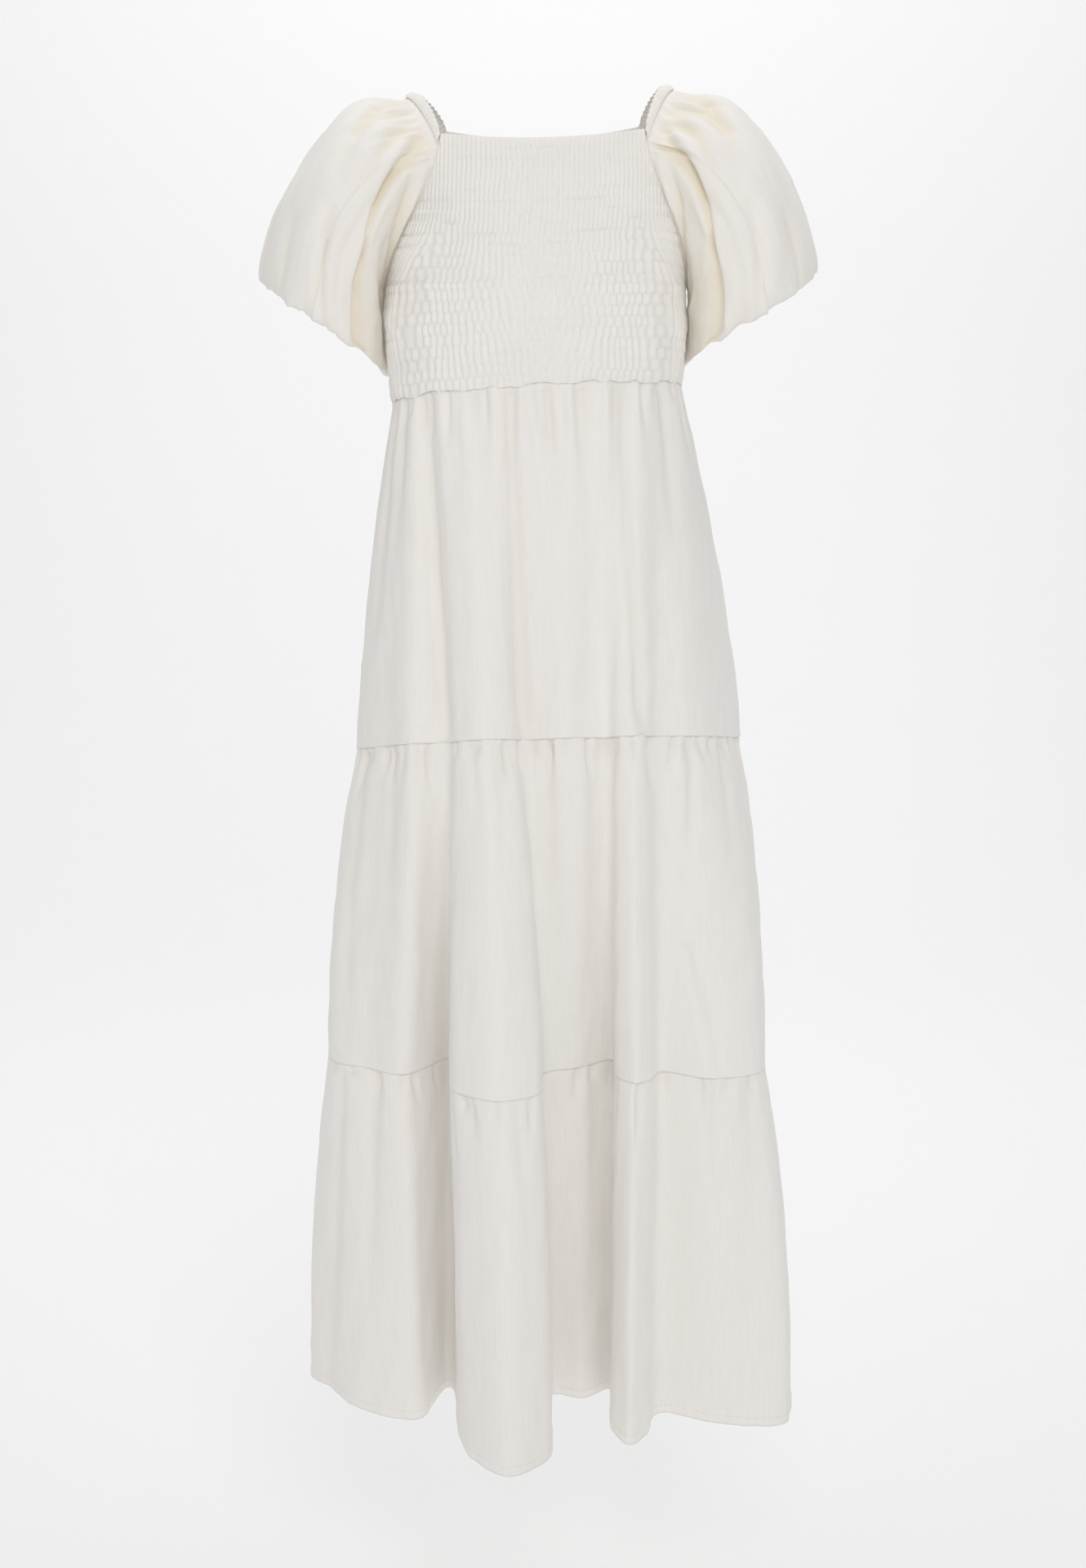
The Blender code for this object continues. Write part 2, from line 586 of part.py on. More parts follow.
def make_sleeve(side, colour):
    """One puff sleeve, gathered into the neck casing and into the cuff."""
    sign = SIDES[side]["sign"]
    column = np.arange(SLEEVE_COLUMNS)
    grid = sleeve_grid(side)
    normal = grid_normals(grid, sign)
    waves = gather_heights(SLEEVE_COLUMNS, 1.0, GATHER_SEED + 5)
    on_neck = np.where(column <= NECK_COLUMNS, 1.0, ARMHOLE_GATHER)
    begins, ends = NECK_GATHER_LENGTHS
    from_end, rises, falls = CUFF_GATHER_LENGTHS
    outer = grid.copy()
    for r, share in enumerate(SLEEVE_ROWS):
        near_neck = NECK_GATHER * on_neck * smooth_step(share / begins) * (1 - smooth_step(share / ends))
        near_cuff = smooth_step((share - (1 - from_end)) / rises) * smooth_step((1 - share) / falls)
        push = waves * (near_neck + CUFF_GATHER * near_cuff) - fold_depth(column, share)
        outer[r] += normal[r] * push[:, None]
    seam_normal = sleeve_start(side)[1]
    cosine = (seam_normal * normal[0]).sum(1, keepdims=True)
    alike = smooth_step((cosine - ALIKE[0]) / (ALIKE[1] - ALIKE[0]))
    normal[0] = normal[0] * (1 - alike) + seam_normal * alike
    normal[0] /= np.linalg.norm(normal[0], axis=1, keepdims=True)
    inner = outer - normal * CLOTH
    if sign < 0:
        outer, inner = outer[:, ::-1], inner[:, ::-1]
    return cloth_wall("sleeve_" + side, outer, inner, True, colour)


def make_cuff(side, colour):
    """The narrow elastic casing that draws the sleeve in."""
    sign = SIDES[side]["sign"]
    column = np.arange(SLEEVE_COLUMNS)
    drops = (SEAM_GAP, SEAM_GAP + CUFF["height"])
    grid = np.array([cuff_point(column, side, drop) for drop in drops])
    normal = grid_normals(grid, sign)
    waves = gather_heights(SLEEVE_COLUMNS, CASING_PUFF, GATHER_SEED + 6)[:, None]
    outer = grid + normal * np.stack([0 * waves - SEAM_GAP, waves])
    inner = outer - normal * CLOTH
    if sign < 0:
        outer, inner = outer[:, ::-1], inner[:, ::-1]
    return cloth_wall("cuff_" + side, outer, inner, True, colour)


def make_casing(side, colour):
    """The elastic casing on the sleeve's neck edge, from one neckline corner to the other."""
    top, way, normal = casing_frame(np.linspace(0, 1, NECK_COLUMNS + 1), side)
    puffs = np.where(np.arange(NECK_COLUMNS + 1) % 2 == 0, CASING_PUFF, 0.0)[:, None]
    short = 1 - SEAM_GAP / CASING_WIDTH
    rows = [top, top + way * short / 2, top + way * short]
    inner = np.array([row - normal * CLOTH for row in rows])
    rows[1] = rows[1] + normal * (puffs + CASING_PUFF)
    outer = np.array(rows)
    if SIDES[side]["sign"] < 0:
        outer, inner = outer[:, ::-1], inner[:, ::-1]
    return cloth_wall("neck_casing_" + side, outer, inner, False, colour)


def main():
    for thing in list(bpy.data.objects):
        bpy.data.objects.remove(thing)
    for side in ("front", "back"):
        make_bodice(side, IVORY)
    for side in SIDES:
        make_sleeve(side, IVORY)
        make_cuff(side, IVORY)
        make_casing(side, IVORY)
    for index in range(len(TIERS)):
        make_tier(index, IVORY)


main()
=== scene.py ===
# Puff sleeve dress in ivory crinkled linen, in its worn shape: shirred bodice, puff sleeves and
# three gathered tiers.
# Metres, +Z up, front towards -Y, the wearer's left towards +X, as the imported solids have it.
import math

import bmesh
import bpy
import numpy as np
from mathutils import Matrix, Vector


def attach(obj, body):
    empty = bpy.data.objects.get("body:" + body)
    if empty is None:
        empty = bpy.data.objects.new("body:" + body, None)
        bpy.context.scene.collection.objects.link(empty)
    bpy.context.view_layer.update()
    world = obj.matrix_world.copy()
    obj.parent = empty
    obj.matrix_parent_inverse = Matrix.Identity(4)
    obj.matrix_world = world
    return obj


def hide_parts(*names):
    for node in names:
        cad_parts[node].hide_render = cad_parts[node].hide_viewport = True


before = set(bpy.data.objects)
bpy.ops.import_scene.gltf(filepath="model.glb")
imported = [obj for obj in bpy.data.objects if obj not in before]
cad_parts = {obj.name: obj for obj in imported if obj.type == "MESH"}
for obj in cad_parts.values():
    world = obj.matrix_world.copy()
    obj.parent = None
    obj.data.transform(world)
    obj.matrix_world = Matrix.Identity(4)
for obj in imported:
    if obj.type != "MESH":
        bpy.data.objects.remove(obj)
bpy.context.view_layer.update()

milli = 0.001
seamGap = 0.0003
tiny = 1e-6


def table(rows):
    return np.array(rows, float) * milli


def smoothStep(value):
    value = np.clip(value, 0.0, 1.0)
    return value * value * (3 - 2 * value)


def unit(vectors):
    return vectors / np.maximum(np.linalg.norm(vectors, axis=-1, keepdims=True), tiny)


# Soft hills and hollows, each about sizeU by sizeV metres, between -1 and 1
def softNoise(u, v, sizeU, sizeV, seed):
    lattice = np.random.default_rng(seed).uniform(-1, 1, (64, 64))
    x, y = u / sizeU, v / sizeV
    i, j = np.floor(x).astype(int), np.floor(y).astype(int)
    shareX, shareY = smoothStep(x - i), smoothStep(y - j)
    upper = lattice[j % 64, i % 64] * (1 - shareX) + lattice[j % 64, (i + 1) % 64] * shareX
    lower = lattice[(j + 1) % 64, i % 64] * (1 - shareX) + lattice[(j + 1) % 64, (i + 1) % 64] * shareX
    return upper * (1 - shareY) + lower * shareY


# A soft bump, 1 where apart is 0
def hump(apart, width):
    return np.exp(-((apart / width) ** 2))


# Distance round a closed line, from minus to plus half of the whole
def wrapped(apart, whole):
    return (apart + whole / 2) % whole - whole / 2


# Level outward normal of a line that runs round the body
def outwardOf(along):
    return unit(np.stack([along[..., 1], -along[..., 0], 0 * along[..., 0]], -1))


def meshFrom(bm, name):
    mesh = bpy.data.meshes.new(name)
    bm.to_mesh(mesh)
    bm.free()
    return mesh


def placed(name, data):
    made = bpy.data.objects.new(name, data)
    bpy.context.scene.collection.objects.link(made)
    return made


# Lengths along each row of a grid of points, from its first column
def rowLengths(points):
    steps = np.linalg.norm(np.diff(points, axis=1), axis=-1)
    return np.concatenate([np.zeros((len(points), 1)), np.cumsum(steps, 1)], 1)


# Where each point lies on the flat cloth, in metres across and down
def clothPlaces(points):
    across = rowLengths(points).mean(0)
    down = rowLengths(points.transpose(1, 0, 2)).mean(0)
    return np.stack(np.meshgrid(across, down), -1)


# A thin piece of cloth from a grid of points: rows run down, columns run round to the wearer's left.
# The shade weight of each point runs 0 to 1: painted shade, how much of the material's shade colour the
# cloth takes deep in its folds. loop closes the last column onto the first. Thickness 0 leaves a single
# layer, for cloth too finely gathered for a wall.
def makeCloth(name, points, thickness, foldShade, loop=False):
    if loop:
        points = np.concatenate([points, points[:, :1]], 1)
        foldShade = np.concatenate([foldShade, foldShade[:, :1]], 1)
    rows, columns = points.shape[:2]
    places = clothPlaces(points)
    bm = bmesh.new()
    bmesh.ops.create_grid(bm, x_segments=columns - 1, y_segments=rows - 1, size=0.5)
    mesh = meshFrom(bm, name)
    mesh.vertices.foreach_set("co", points[::-1].reshape(-1).astype(np.float32))
    corners = np.empty(len(mesh.loops), np.int32)
    mesh.loops.foreach_get("vertex_index", corners)
    clothMap = mesh.uv_layers.new(name="cloth")
    clothMap.data.foreach_set("uv", places[::-1].reshape(-1, 2)[corners].reshape(-1).astype(np.float32))
    # painted shade, kept on the points for the material to mix in
    shadeWeight = mesh.attributes.new("foldShade", "FLOAT", "POINT")
    shadeWeight.data.foreach_set("value", np.clip(foldShade, 0, 1)[::-1].reshape(-1).astype(np.float32))
    if loop:
        bm = bmesh.new()
        bm.from_mesh(mesh)
        edge = [vertex for vertex in bm.verts if vertex.is_boundary]
        bmesh.ops.remove_doubles(bm, verts=edge, dist=tiny)
        bm.to_mesh(mesh)
        bm.free()
    mesh.shade_smooth()
    piece = placed(name, mesh)
    if thickness:
        wall = piece.modifiers.new("clothWall", "SOLIDIFY")
        wall.thickness = thickness
        wall.offset = -1
    return piece


# Every piece rides on the one body, stands for its solid and takes its material
def wear(piece, material, node):
    piece.data.materials.append(material)
    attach(piece, "root")
    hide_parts(node)


# Smooth curves through points
def tangents(p0, p1, p2, p3, d0, d1, d2):
    leaving = d1 * (d1 * (p1 - p0) / d0 + d0 * (p2 - p1) / d1) / (d0 + d1)
    arriving = d1 * (d1 * (p3 - p2) / d2 + d2 * (p2 - p1) / d1) / (d1 + d2)
    return leaving, arriving


def curveBetween(start, end, leaving, arriving, part):
    t2, t3 = part**2, part**3
    curve = (2 * t3 - 3 * t2 + 1) * start + (3 * t2 - 2 * t3) * end
    return curve + (t3 - 2 * t2 + part) * leaving + (t3 - t2) * arriving


# place is counted in points; roundness stretches the tangents, for fuller crests and valleys
def closedCurve(points, place, roundness=1.0):
    count = points.shape[0]
    full = (np.ones(count) * roundness)[:, None]
    low = np.floor(place).astype(int) % count
    part = (place - np.floor(place))[:, None]
    p0, p1, p2, p3 = [points[(low + k) % count] for k in (-1, 0, 1, 2)]
    pairs = ((p0, p1), (p1, p2), (p2, p3))
    d0, d1, d2 = [np.linalg.norm(b - a, axis=-1, keepdims=True) + seamGap for a, b in pairs]
    leaving, arriving = tangents(p0, p1, p2, p3, d0, d1, d2)
    return curveBetween(p1, p2, full[low] * leaving, full[(low + 1) % count] * arriving, part)


# points is (k, columns, 3) and share runs 0 to 1 along them
def openCurve(points, share):
    padded = np.concatenate([2 * points[:1] - points[1:2], points, 2 * points[-1:] - points[-2:-1]])
    spans = np.linalg.norm(np.diff(points, axis=0), axis=-1).mean(1)
    ends = np.concatenate([[0], np.cumsum(spans)]) / spans.sum()
    index = int(min(np.searchsorted(ends, share, side="right") - 1, len(spans) - 1))
    part = (share - ends[index]) / (ends[index + 1] - ends[index])
    p0, p1, p2, p3 = padded[index : index + 4]
    d0, d1, d2 = [spans[min(max(index + k, 0), len(spans) - 1)] for k in (-1, 0, 1)]
    return curveBetween(p1, p2, *tangents(p0, p1, p2, p3, d0, d1, d2), part)


# Cloth material: woven threads, slubs and a soft crinkle that runs with the warp
linen = {
    "light": (0.880, 0.860, 0.832),
    "deep": (0.862, 0.840, 0.808),
    "noiseRoughness": 0.55,
    "inputs": {
        "Roughness": 0.86,
        "Sheen Weight": 0.18,
        "Sheen Roughness": 0.5,
        "Specular IOR Level": 0.25,
        # a painted glow over all the cloth, standing in for daylight that comes through it
        "Emission Color": (1.0, 0.93, 0.83, 1.0),
        "Emission Strength": 0.045,
    },
    "streakEnds": (0.36, 0.60),
    "warmTint": (0.012, 0.05),
    # how many to a metre, how many times longer than wide, how deep (m)
    "thread": (1500, 12, 0.00012),
    "slub": (380, 16, 0.00016),
    "crinkle": (62, 3.2, 0.0007),
}


def setInputs(node, values):
    for name, value in values.items():
        node.inputs[name].default_value = value


def noiseLayer(nodes, links, source, acrossScale, downScale, detail):
    mapping = nodes.new("ShaderNodeMapping")
    setInputs(mapping, {"Scale": (acrossScale, downScale, 1.0)})
    links.new(source, mapping.inputs["Vector"])
    noise = nodes.new("ShaderNodeTexNoise")
    setInputs(noise, {"Scale": 1.0, "Detail": detail, "Roughness": linen["noiseRoughness"]})
    links.new(mapping.outputs["Vector"], noise.inputs["Vector"])
    return noise.outputs["Fac"]


def bumpLayer(nodes, links, height, distance, below=None):
    bump = nodes.new("ShaderNodeBump")
    setInputs(bump, {"Strength": 1.0, "Distance": distance})
    links.new(height, bump.inputs["Height"])
    if below:
        links.new(below, bump.inputs["Normal"])
    return bump.outputs["Normal"]


# The second argument is painted shade: a colour mixed in where the cloth lies deep in its folds, in
# place of the warm shade that gathers there
def linenMaterial(name, foldShade, crinkle=1.0, slub=1.0, warmth=0.0):
    material = bpy.data.materials.new(name)
    material.use_nodes = True
    nodes, links = material.node_tree.nodes, material.node_tree.links
    shader = nodes["Principled BSDF"]
    setInputs(shader, linen["inputs"])
    cloth = nodes.new("ShaderNodeUVMap")
    cloth.uv_map = "cloth"
    place = cloth.outputs["UV"]
    threads, stretch, threadDepth = linen["thread"]
    warp = noiseLayer(nodes, links, place, threads, threads / stretch, 1.0)
    weft = noiseLayer(nodes, links, place, threads / stretch, threads, 1.0)
    slubs, stretch, slubDepth = linen["slub"]
    streak = noiseLayer(nodes, links, place, slubs, slubs / stretch, 2.0)
    crinkles, stretch, crinkleDepth = linen["crinkle"]
    wrinkle = noiseLayer(nodes, links, place, crinkles, crinkles / stretch, 3.0)
    normal = bumpLayer(nodes, links, wrinkle, crinkleDepth * crinkle)
    normal = bumpLayer(nodes, links, streak, slubDepth * slub, normal)
    normal = bumpLayer(nodes, links, warp, threadDepth, normal)
    normal = bumpLayer(nodes, links, weft, threadDepth, normal)
    links.new(normal, shader.inputs["Normal"])
    ramp = nodes.new("ShaderNodeValToRGB")
    lessGreen, lessBlue = linen["warmTint"]
    warm = np.array([1.0, 1.0 - lessGreen * warmth, 1.0 - lessBlue * warmth])
    for stop, at, colour in zip(ramp.color_ramp.elements, linen["streakEnds"], ("deep", "light")):
        stop.position = at
        stop.color = (*(np.array(linen[colour]) * warm), 1.0)
    links.new(streak, ramp.inputs["Fac"])
    # painted shade: each point's shade weight mixes the shade colour into the cloth
    shadeWeight = nodes.new("ShaderNodeAttribute")
    shadeWeight.attribute_name = "foldShade"
    mixed = nodes.new("ShaderNodeMix")
    mixed.data_type = "RGBA"
    mixed.inputs["B"].default_value = (*foldShade, 1.0)
    links.new(shadeWeight.outputs["Fac"], mixed.inputs["Factor"])
    links.new(ramp.outputs["Color"], mixed.inputs["A"])
    links.new(mixed.outputs["Result"], shader.inputs["Base Color"])
    return material


# each second colour is painted shade for the folds, creamiest on the sleeves
skirtCloth = linenMaterial("skirtLinen", (0.81, 0.775, 0.715))
sleeveCloth = linenMaterial("sleeveLinen", (0.84, 0.785, 0.675), crinkle=0.8, warmth=0.1)
shirredCloth = linenMaterial("shirredLinen", (0.835, 0.82, 0.785), crinkle=0.25, slub=0.8)
casingCloth = linenMaterial("casingLinen", (0.86, 0.84, 0.80), crinkle=0.3, warmth=0.2)
threadCloth = linenMaterial("sewingThread", (0.81, 0.775, 0.715), crinkle=0.0, warmth=0.3)
print("materials made")

# The figure's sections under the bodice: height, half width, front depth, back depth, centre x (mm)
torso = {
    "sections": (
        (0, 118, 76, 70, 0), (-30, 122, 84, 78, 0),
        (-60, 127, 97, 90, 0), (-90, 133, 108, 98, 0),
        (-126, 137.5, 119, 104, -2), (-150, 138.5, 125, 105, -4),
        (-177, 138, 130, 104, -6), (-207, 140.5, 131, 101, -7.5),
        (-237, 139, 125, 95, -7), (-262, 136.5, 116, 90, -6.5),
        (-290, 136, 110, 87, -6), (-320, 137, 110, 88, -5),
    ),
    "roundness": 2.25,
    "waist": {"level": -0.277, "frontLift": 0.11, "tilt": 0.06},
    "liftBlend": 0.02,
    "waistWave": 0.0016,
    "waistWaveLength": 0.021,
    "waistWaveDepth": 0.05,
}


def torsoAt(height):
    rows = table(torso["sections"])[::-1]
    return [np.interp(height, rows[:, 0], rows[:, k]) for k in range(1, 5)]


def torsoPoint(angle, height):
    half, front, back, centre = torsoAt(height)
    sine, cosine = np.sin(angle), np.cos(angle)
    depth = np.where(cosine >= 0, front, back)
    power = 2 / torso["roundness"]
    x = centre + half * np.sign(sine) * np.abs(sine) ** power
    y = -depth * np.sign(cosine) * np.abs(cosine) ** power
    return np.stack([x, y, height + 0 * x], -1)


def torsoNormal(angle, height):
    step = 0.01
    along = torsoPoint(angle + step, height) - torsoPoint(angle - step, height)
    return outwardOf(along)


# A seam's height: level behind, lifted towards the front and tilted to one side
def seamHeight(level, x, y):
    blend = torso["liftBlend"]
    lifted = (-y + np.sqrt(y * y + blend**2)) / 2 - blend / 2
    return level["level"] + level["frontLift"] * np.maximum(lifted, 0) + level["tilt"] * x


# The waist seam, a little wavy where the elastic draws it
def waistPoint(angle):
    point = torsoPoint(angle, torso["waist"]["level"] + 0 * angle)
    height = seamHeight(torso["waist"], point[..., 0], point[..., 1])
    length, depth = torso["waistWaveLength"], torso["waistWaveDepth"]
    wave = softNoise(point[..., 0] + 0.5, point[..., 1] + 0.5, length, depth, 41)
    return torsoPoint(angle, height + torso["waistWave"] * wave)


# Bodice: elastic rows about 10 mm apart, fine ribs in its upper half and small puffs below
bodice = {
    "neck": {"front": (-0.0485, 0.0065), "back": (-0.036, 0.006)},
    "neckHalf": 0.086,
    "neckTilt": 0.023,
    "cornerAngle": 46.0,
    "underarm": -0.177,
    "armholeCurve": 0.75,
    "elasticRows": 23,
    "armholeRows": 13,
    "rowsEach": 5,
    "columns": {"front": 780, "back": 620},
    "ribPitch": 0.0046,
    "puffPitch": 0.0068,
    "ribHeight": 0.0024,
    "puffHeight": 0.0033,
    "puffsFrom": 0.36,
    "puffsFull": 0.62,
    "puffsWithin": 0.42,
    "puffsFade": 0.34,
    "sideRibs": 26,
    "sideRibsFrom": 0.30,
    "sideRibsFade": 0.16,
    "sideEvenness": (0.92, 0.6),
    # least value and what puffs add, each as a share of the pitch
    "rowShift": (0.10, 0.22),
    "drift": (0.22, 0.2),
    "driftSize": (0.026, 0.012),
    "sizes": (0.72, 1.08),
    "sizeCount": 256,
    "neckHem": 0.026,
    "neckRoll": ((0.0013, -0.004), (0.0012, -0.0005), (0.0005, 0.0004)),
    "unevenness": 0.0010,
    "unevenSize": (0.034, 0.022),
    "sideHem": 34,
    "scallopLength": 0.0085,
    "scallopHeight": 0.0016,
    "flat": (0.50, 0.235),
}


def neckHeight(side, x):
    centre, corner = bodice["neck"][side]
    return centre + corner * (x / bodice["neckHalf"]) ** 2 + bodice["neckTilt"] * x


def armholeAngle(height, top):
    share = np.clip((height - bodice["underarm"]) / (top - bodice["underarm"]), 0, 1)
    narrowing = np.sin(share * math.pi / 2) ** bodice["armholeCurve"]
    return np.radians(90.0 - (90.0 - bodice["cornerAngle"]) * narrowing)


# across runs -1 to 1 between the side edges, down runs 0 at the neck to 1 at the waist
def bodicePoint(side, across, down, beyond=-0.5 * seamGap):
    corner = sum(bodice["neck"][side])
    height = corner + 0.0 * across
    underarm = bodice["armholeRows"] / bodice["elasticRows"]
    tent = np.minimum(down / underarm, (1 - down) / (1 - underarm))
    for _ in range(8):
        angle = across * armholeAngle(height, corner)
        turned = angle if side == "front" else math.pi - angle
        neck = neckHeight(side, torsoPoint(turned, height)[..., 0])
        bottom = waistPoint(turned)[..., 2]
        atUnderarm = neck + (bottom - neck) * underarm
        bend = tent * np.abs(across) ** 4
        height = neck + (bottom - neck) * down + (bodice["underarm"] - atUnderarm) * bend
    angle = angle + np.sign(across) * np.abs(across) ** 8 * beyond / torsoAt(height)[0]
    turned = angle if side == "front" else math.pi - angle
    return torsoPoint(turned, height), torsoNormal(turned, height)


# Height of the shirred cloth at a length along its row, each rib and puff a little different
def shirring(along, down, across):
    chance = np.random.default_rng(23)
    rows = bodice["elasticRows"]
    row = np.clip(down * rows, 0, rows - tiny)
    band = np.floor(row).astype(int)
    middle, puffsFrom = (band + 0.5) / rows, bodice["puffsFrom"]
    puffy = smoothStep((middle - puffsFrom) / (bodice["puffsFull"] - puffsFrom))
    # puffs lie across the middle, fine ribs run on down both sides
    sides = smoothStep((np.abs(across) - bodice["puffsWithin"]) / bodice["puffsFade"])
    pitch = bodice["ribPitch"] + (bodice["puffPitch"] - bodice["ribPitch"]) * puffy
    evenShift, evenDrift = bodice["sideEvenness"]
    least, more = bodice["rowShift"]
    shift = 0.5 * (band % 2) * puffy + chance.uniform(-1, 1, rows)[band] * (least + more * puffy)
    shift *= 1 - evenShift * sides
    least, more = bodice["drift"]
    drift = softNoise(along + 0.3, band * 0.01, *bodice["driftSize"], 31) * (least + more * puffy)
    beside = np.sign(along) * np.abs(across) * bodice["sideRibs"]
    below = sides * smoothStep((middle - bodice["sideRibsFrom"]) / bodice["sideRibsFade"])
    phase = along / pitch * (1 - below) + beside * below + shift + drift * (1 - evenDrift * sides)
    rib = 0.5 + 0.5 * np.cos(2 * math.pi * phase)
    count = bodice["sizeCount"]
    sizes = chance.uniform(*bodice["sizes"], (rows, count))
    size = sizes[band, (np.round(phase).astype(int) + count // 2) % count]
    swell = np.abs(np.sin(math.pi * (row - band)))
    ribs = bodice["ribHeight"] * rib * (0.86 + 0.14 * swell)
    puffs = bodice["puffHeight"] * (0.26 + 0.74 * rib**0.85 * (0.5 + 0.5 * swell**0.6))
    flat = puffy * (1 - sides)
    height = (ribs * (1 - flat) + puffs * flat) * size
    uneven = softNoise(along + 0.4, down * 0.23, *bodice["unevenSize"], 33)
    height = height + bodice["unevenness"] * uneven
    hem = bodice["sideHem"]
    edge = smoothStep(down / bodice["neckHem"]) * smoothStep((1 - np.abs(across)) * hem)
    # painted shade in the gaps between ribs and puffs, stronger at the sides
    foldShade = (1 - np.clip(height / (0.75 * bodice["puffHeight"]), 0, 1)) * (0.55 + 0.45 * sides)
    return height * (0.25 + 0.75 * edge) * (0.5 + 0.5 * smoothStep((1 - down) * hem)), foldShade


def makeBodice(side):
    columns = bodice["columns"][side]
    rows = bodice["elasticRows"] * bodice["rowsEach"]
    places = np.linspace(-1, 1, columns + 1) * (1 if side == "front" else -1)
    across, down = np.meshgrid(places, np.linspace(0, 1, rows + 1))
    point, normal = bodicePoint(side, across, down)
    lengths = rowLengths(point)
    along = lengths - lengths[:, columns // 2][:, None]
    height, foldShade = shirring(along, down, across)
    point = point + normal * height[..., None]
    # the waist edge is drawn up in small scallops
    scallop = softNoise(along[-1] + 0.5, 0 * along[-1], bodice["scallopLength"], 1.0, 37)
    inside = smoothStep((1 - np.abs(across[-1])) * bodice["sideHem"])
    point[-1, :, 2] += bodice["scallopHeight"] * scallop * inside
    # the neck edge is turned in narrowly
    roll = bodice["neckRoll"]
    rolled = [point[:1] - normal[:1] * inward + np.array([0, 0, drop]) for inward, drop in roll]
    point = np.concatenate([*rolled, point])
    foldShade = np.concatenate([foldShade[:1]] * len(rolled) + [foldShade])
    piece = makeCloth(f"bodice{side.capitalize()}Cloth", point, 0, foldShade)
    wear(piece, shirredCloth, "bodice_" + side)


for side in ("front", "back"):
    makeBodice(side)
print("bodice made")

# Skirt: its fold lines from the right side seam round the front, one row a crest or valley
# waist angle from centre front (degrees), then x, y at seam 1, at seam 2 and at the hem (mm)
skirt = {
    "lines": (
        (-90, -181, 12, -213, 8, -240, 52),
        (-72, -168, -32, -200, -20, -216, 14),
        (-60, -150, -58, -176, -32, -176, -30),
        (-54, -120, -92, -138, -58, -130, -44),
        (-46, -90, -88, -94, -2, -98, 18),
        (-36, -79, -112, -78, -122, -66, -122),
        (-26, -55, -128, -42, -146, -33, -152),
        (-18, -30, -118, -8, -128, 0, -128),
        (-9, -18, -97, 6, -48, 17, 4),
        (8, 20, -112, 33, -36, 40, -4),
        (24, 60, -94, 66, -8, 66, 14),
        (33, 70, -110, 75, -74, 71, -72),
        (38, 83, -115, 89, -88, 85, -94),
        (43, 95, -108, 103, -76, 100, -76),
        (51, 105, -96, 113, -50, 114, -34),
        (62, 137, -82, 162, -72, 177, -54),
        (75, 170, -44, 208, -54, 240, -54),
        (90, 192, 26, 218, 8, 244, 34),
        (108, 168, 80, 198, 88, 216, 112),
        (122, 130, 92, 150, 86, 166, 76),
        (138, 98, 124, 118, 150, 128, 170),
        (152, 62, 118, 72, 110, 78, 94),
        (168, 28, 134, 34, 164, 38, 188),
        (184, -14, 126, -12, 118, -10, 100),
        (200, -56, 132, -62, 160, -66, 182),
        (216, -90, 112, -100, 104, -106, 92),
        (232, -128, 102, -148, 128, -160, 148),
        (250, -158, 60, -184, 66, -198, 92),
    ),
    "backStart": 17,
    "backRoundness": 1.9,
    "seam1": {"level": -0.611, "frontLift": 0.21, "tilt": 0.03},
    "seam2": {"level": -0.927, "frontLift": 0.0, "tilt": 0.0},
    "hemLevel": -1.2975,
    "hemRise": 0.10,
    "hemRiseDepth": 0.17,
    "hemFront": -0.15,
    "columns": {"front": 380, "back": 276},
    "rowZones": ((0.0, 0.16, 15), (0.16, 0.94, 26), (0.94, 1.0, 10)),
    "thickness": 0.0008,
    "tuck": 0.0028,
    "tuckDepth": 0.0003,
    "tuckReach": 0.006,
    "gatherStrength": 2.0,
    # beside the stitching: share of the gathers left and how far down they grow to full size
    "gatherEdge": (0.12, 0.007),
    "flatteningReach": 0.03,
    # crimp: height, pitch, reach and start; crinkles: height, slant, size across and down, seed
    "crimp": (0.00055, 0.0032, 0.014, 0.0015),
    "crinkles": ((0.0009, 0.3, 0.021, 0.085, 60), (0.0005, -0.25, 0.009, 0.045, 64)),
    "crinklesReach": 0.05,
    "foldShadeStrength": 0.55,
    "foldShadeDepth": 0.0065,
    "seamRidge": 0.0003,
    "seamRidgeHeight": 0.0035,
    "hemHeight": 0.011,
    "hemStep": 0.0007,
    "hemStepWidth": 0.0012,
    # the stitched groove above the hem: depth, height above it, half width
    "hemGroove": (0.0004, 0.0015, 0.0009),
}

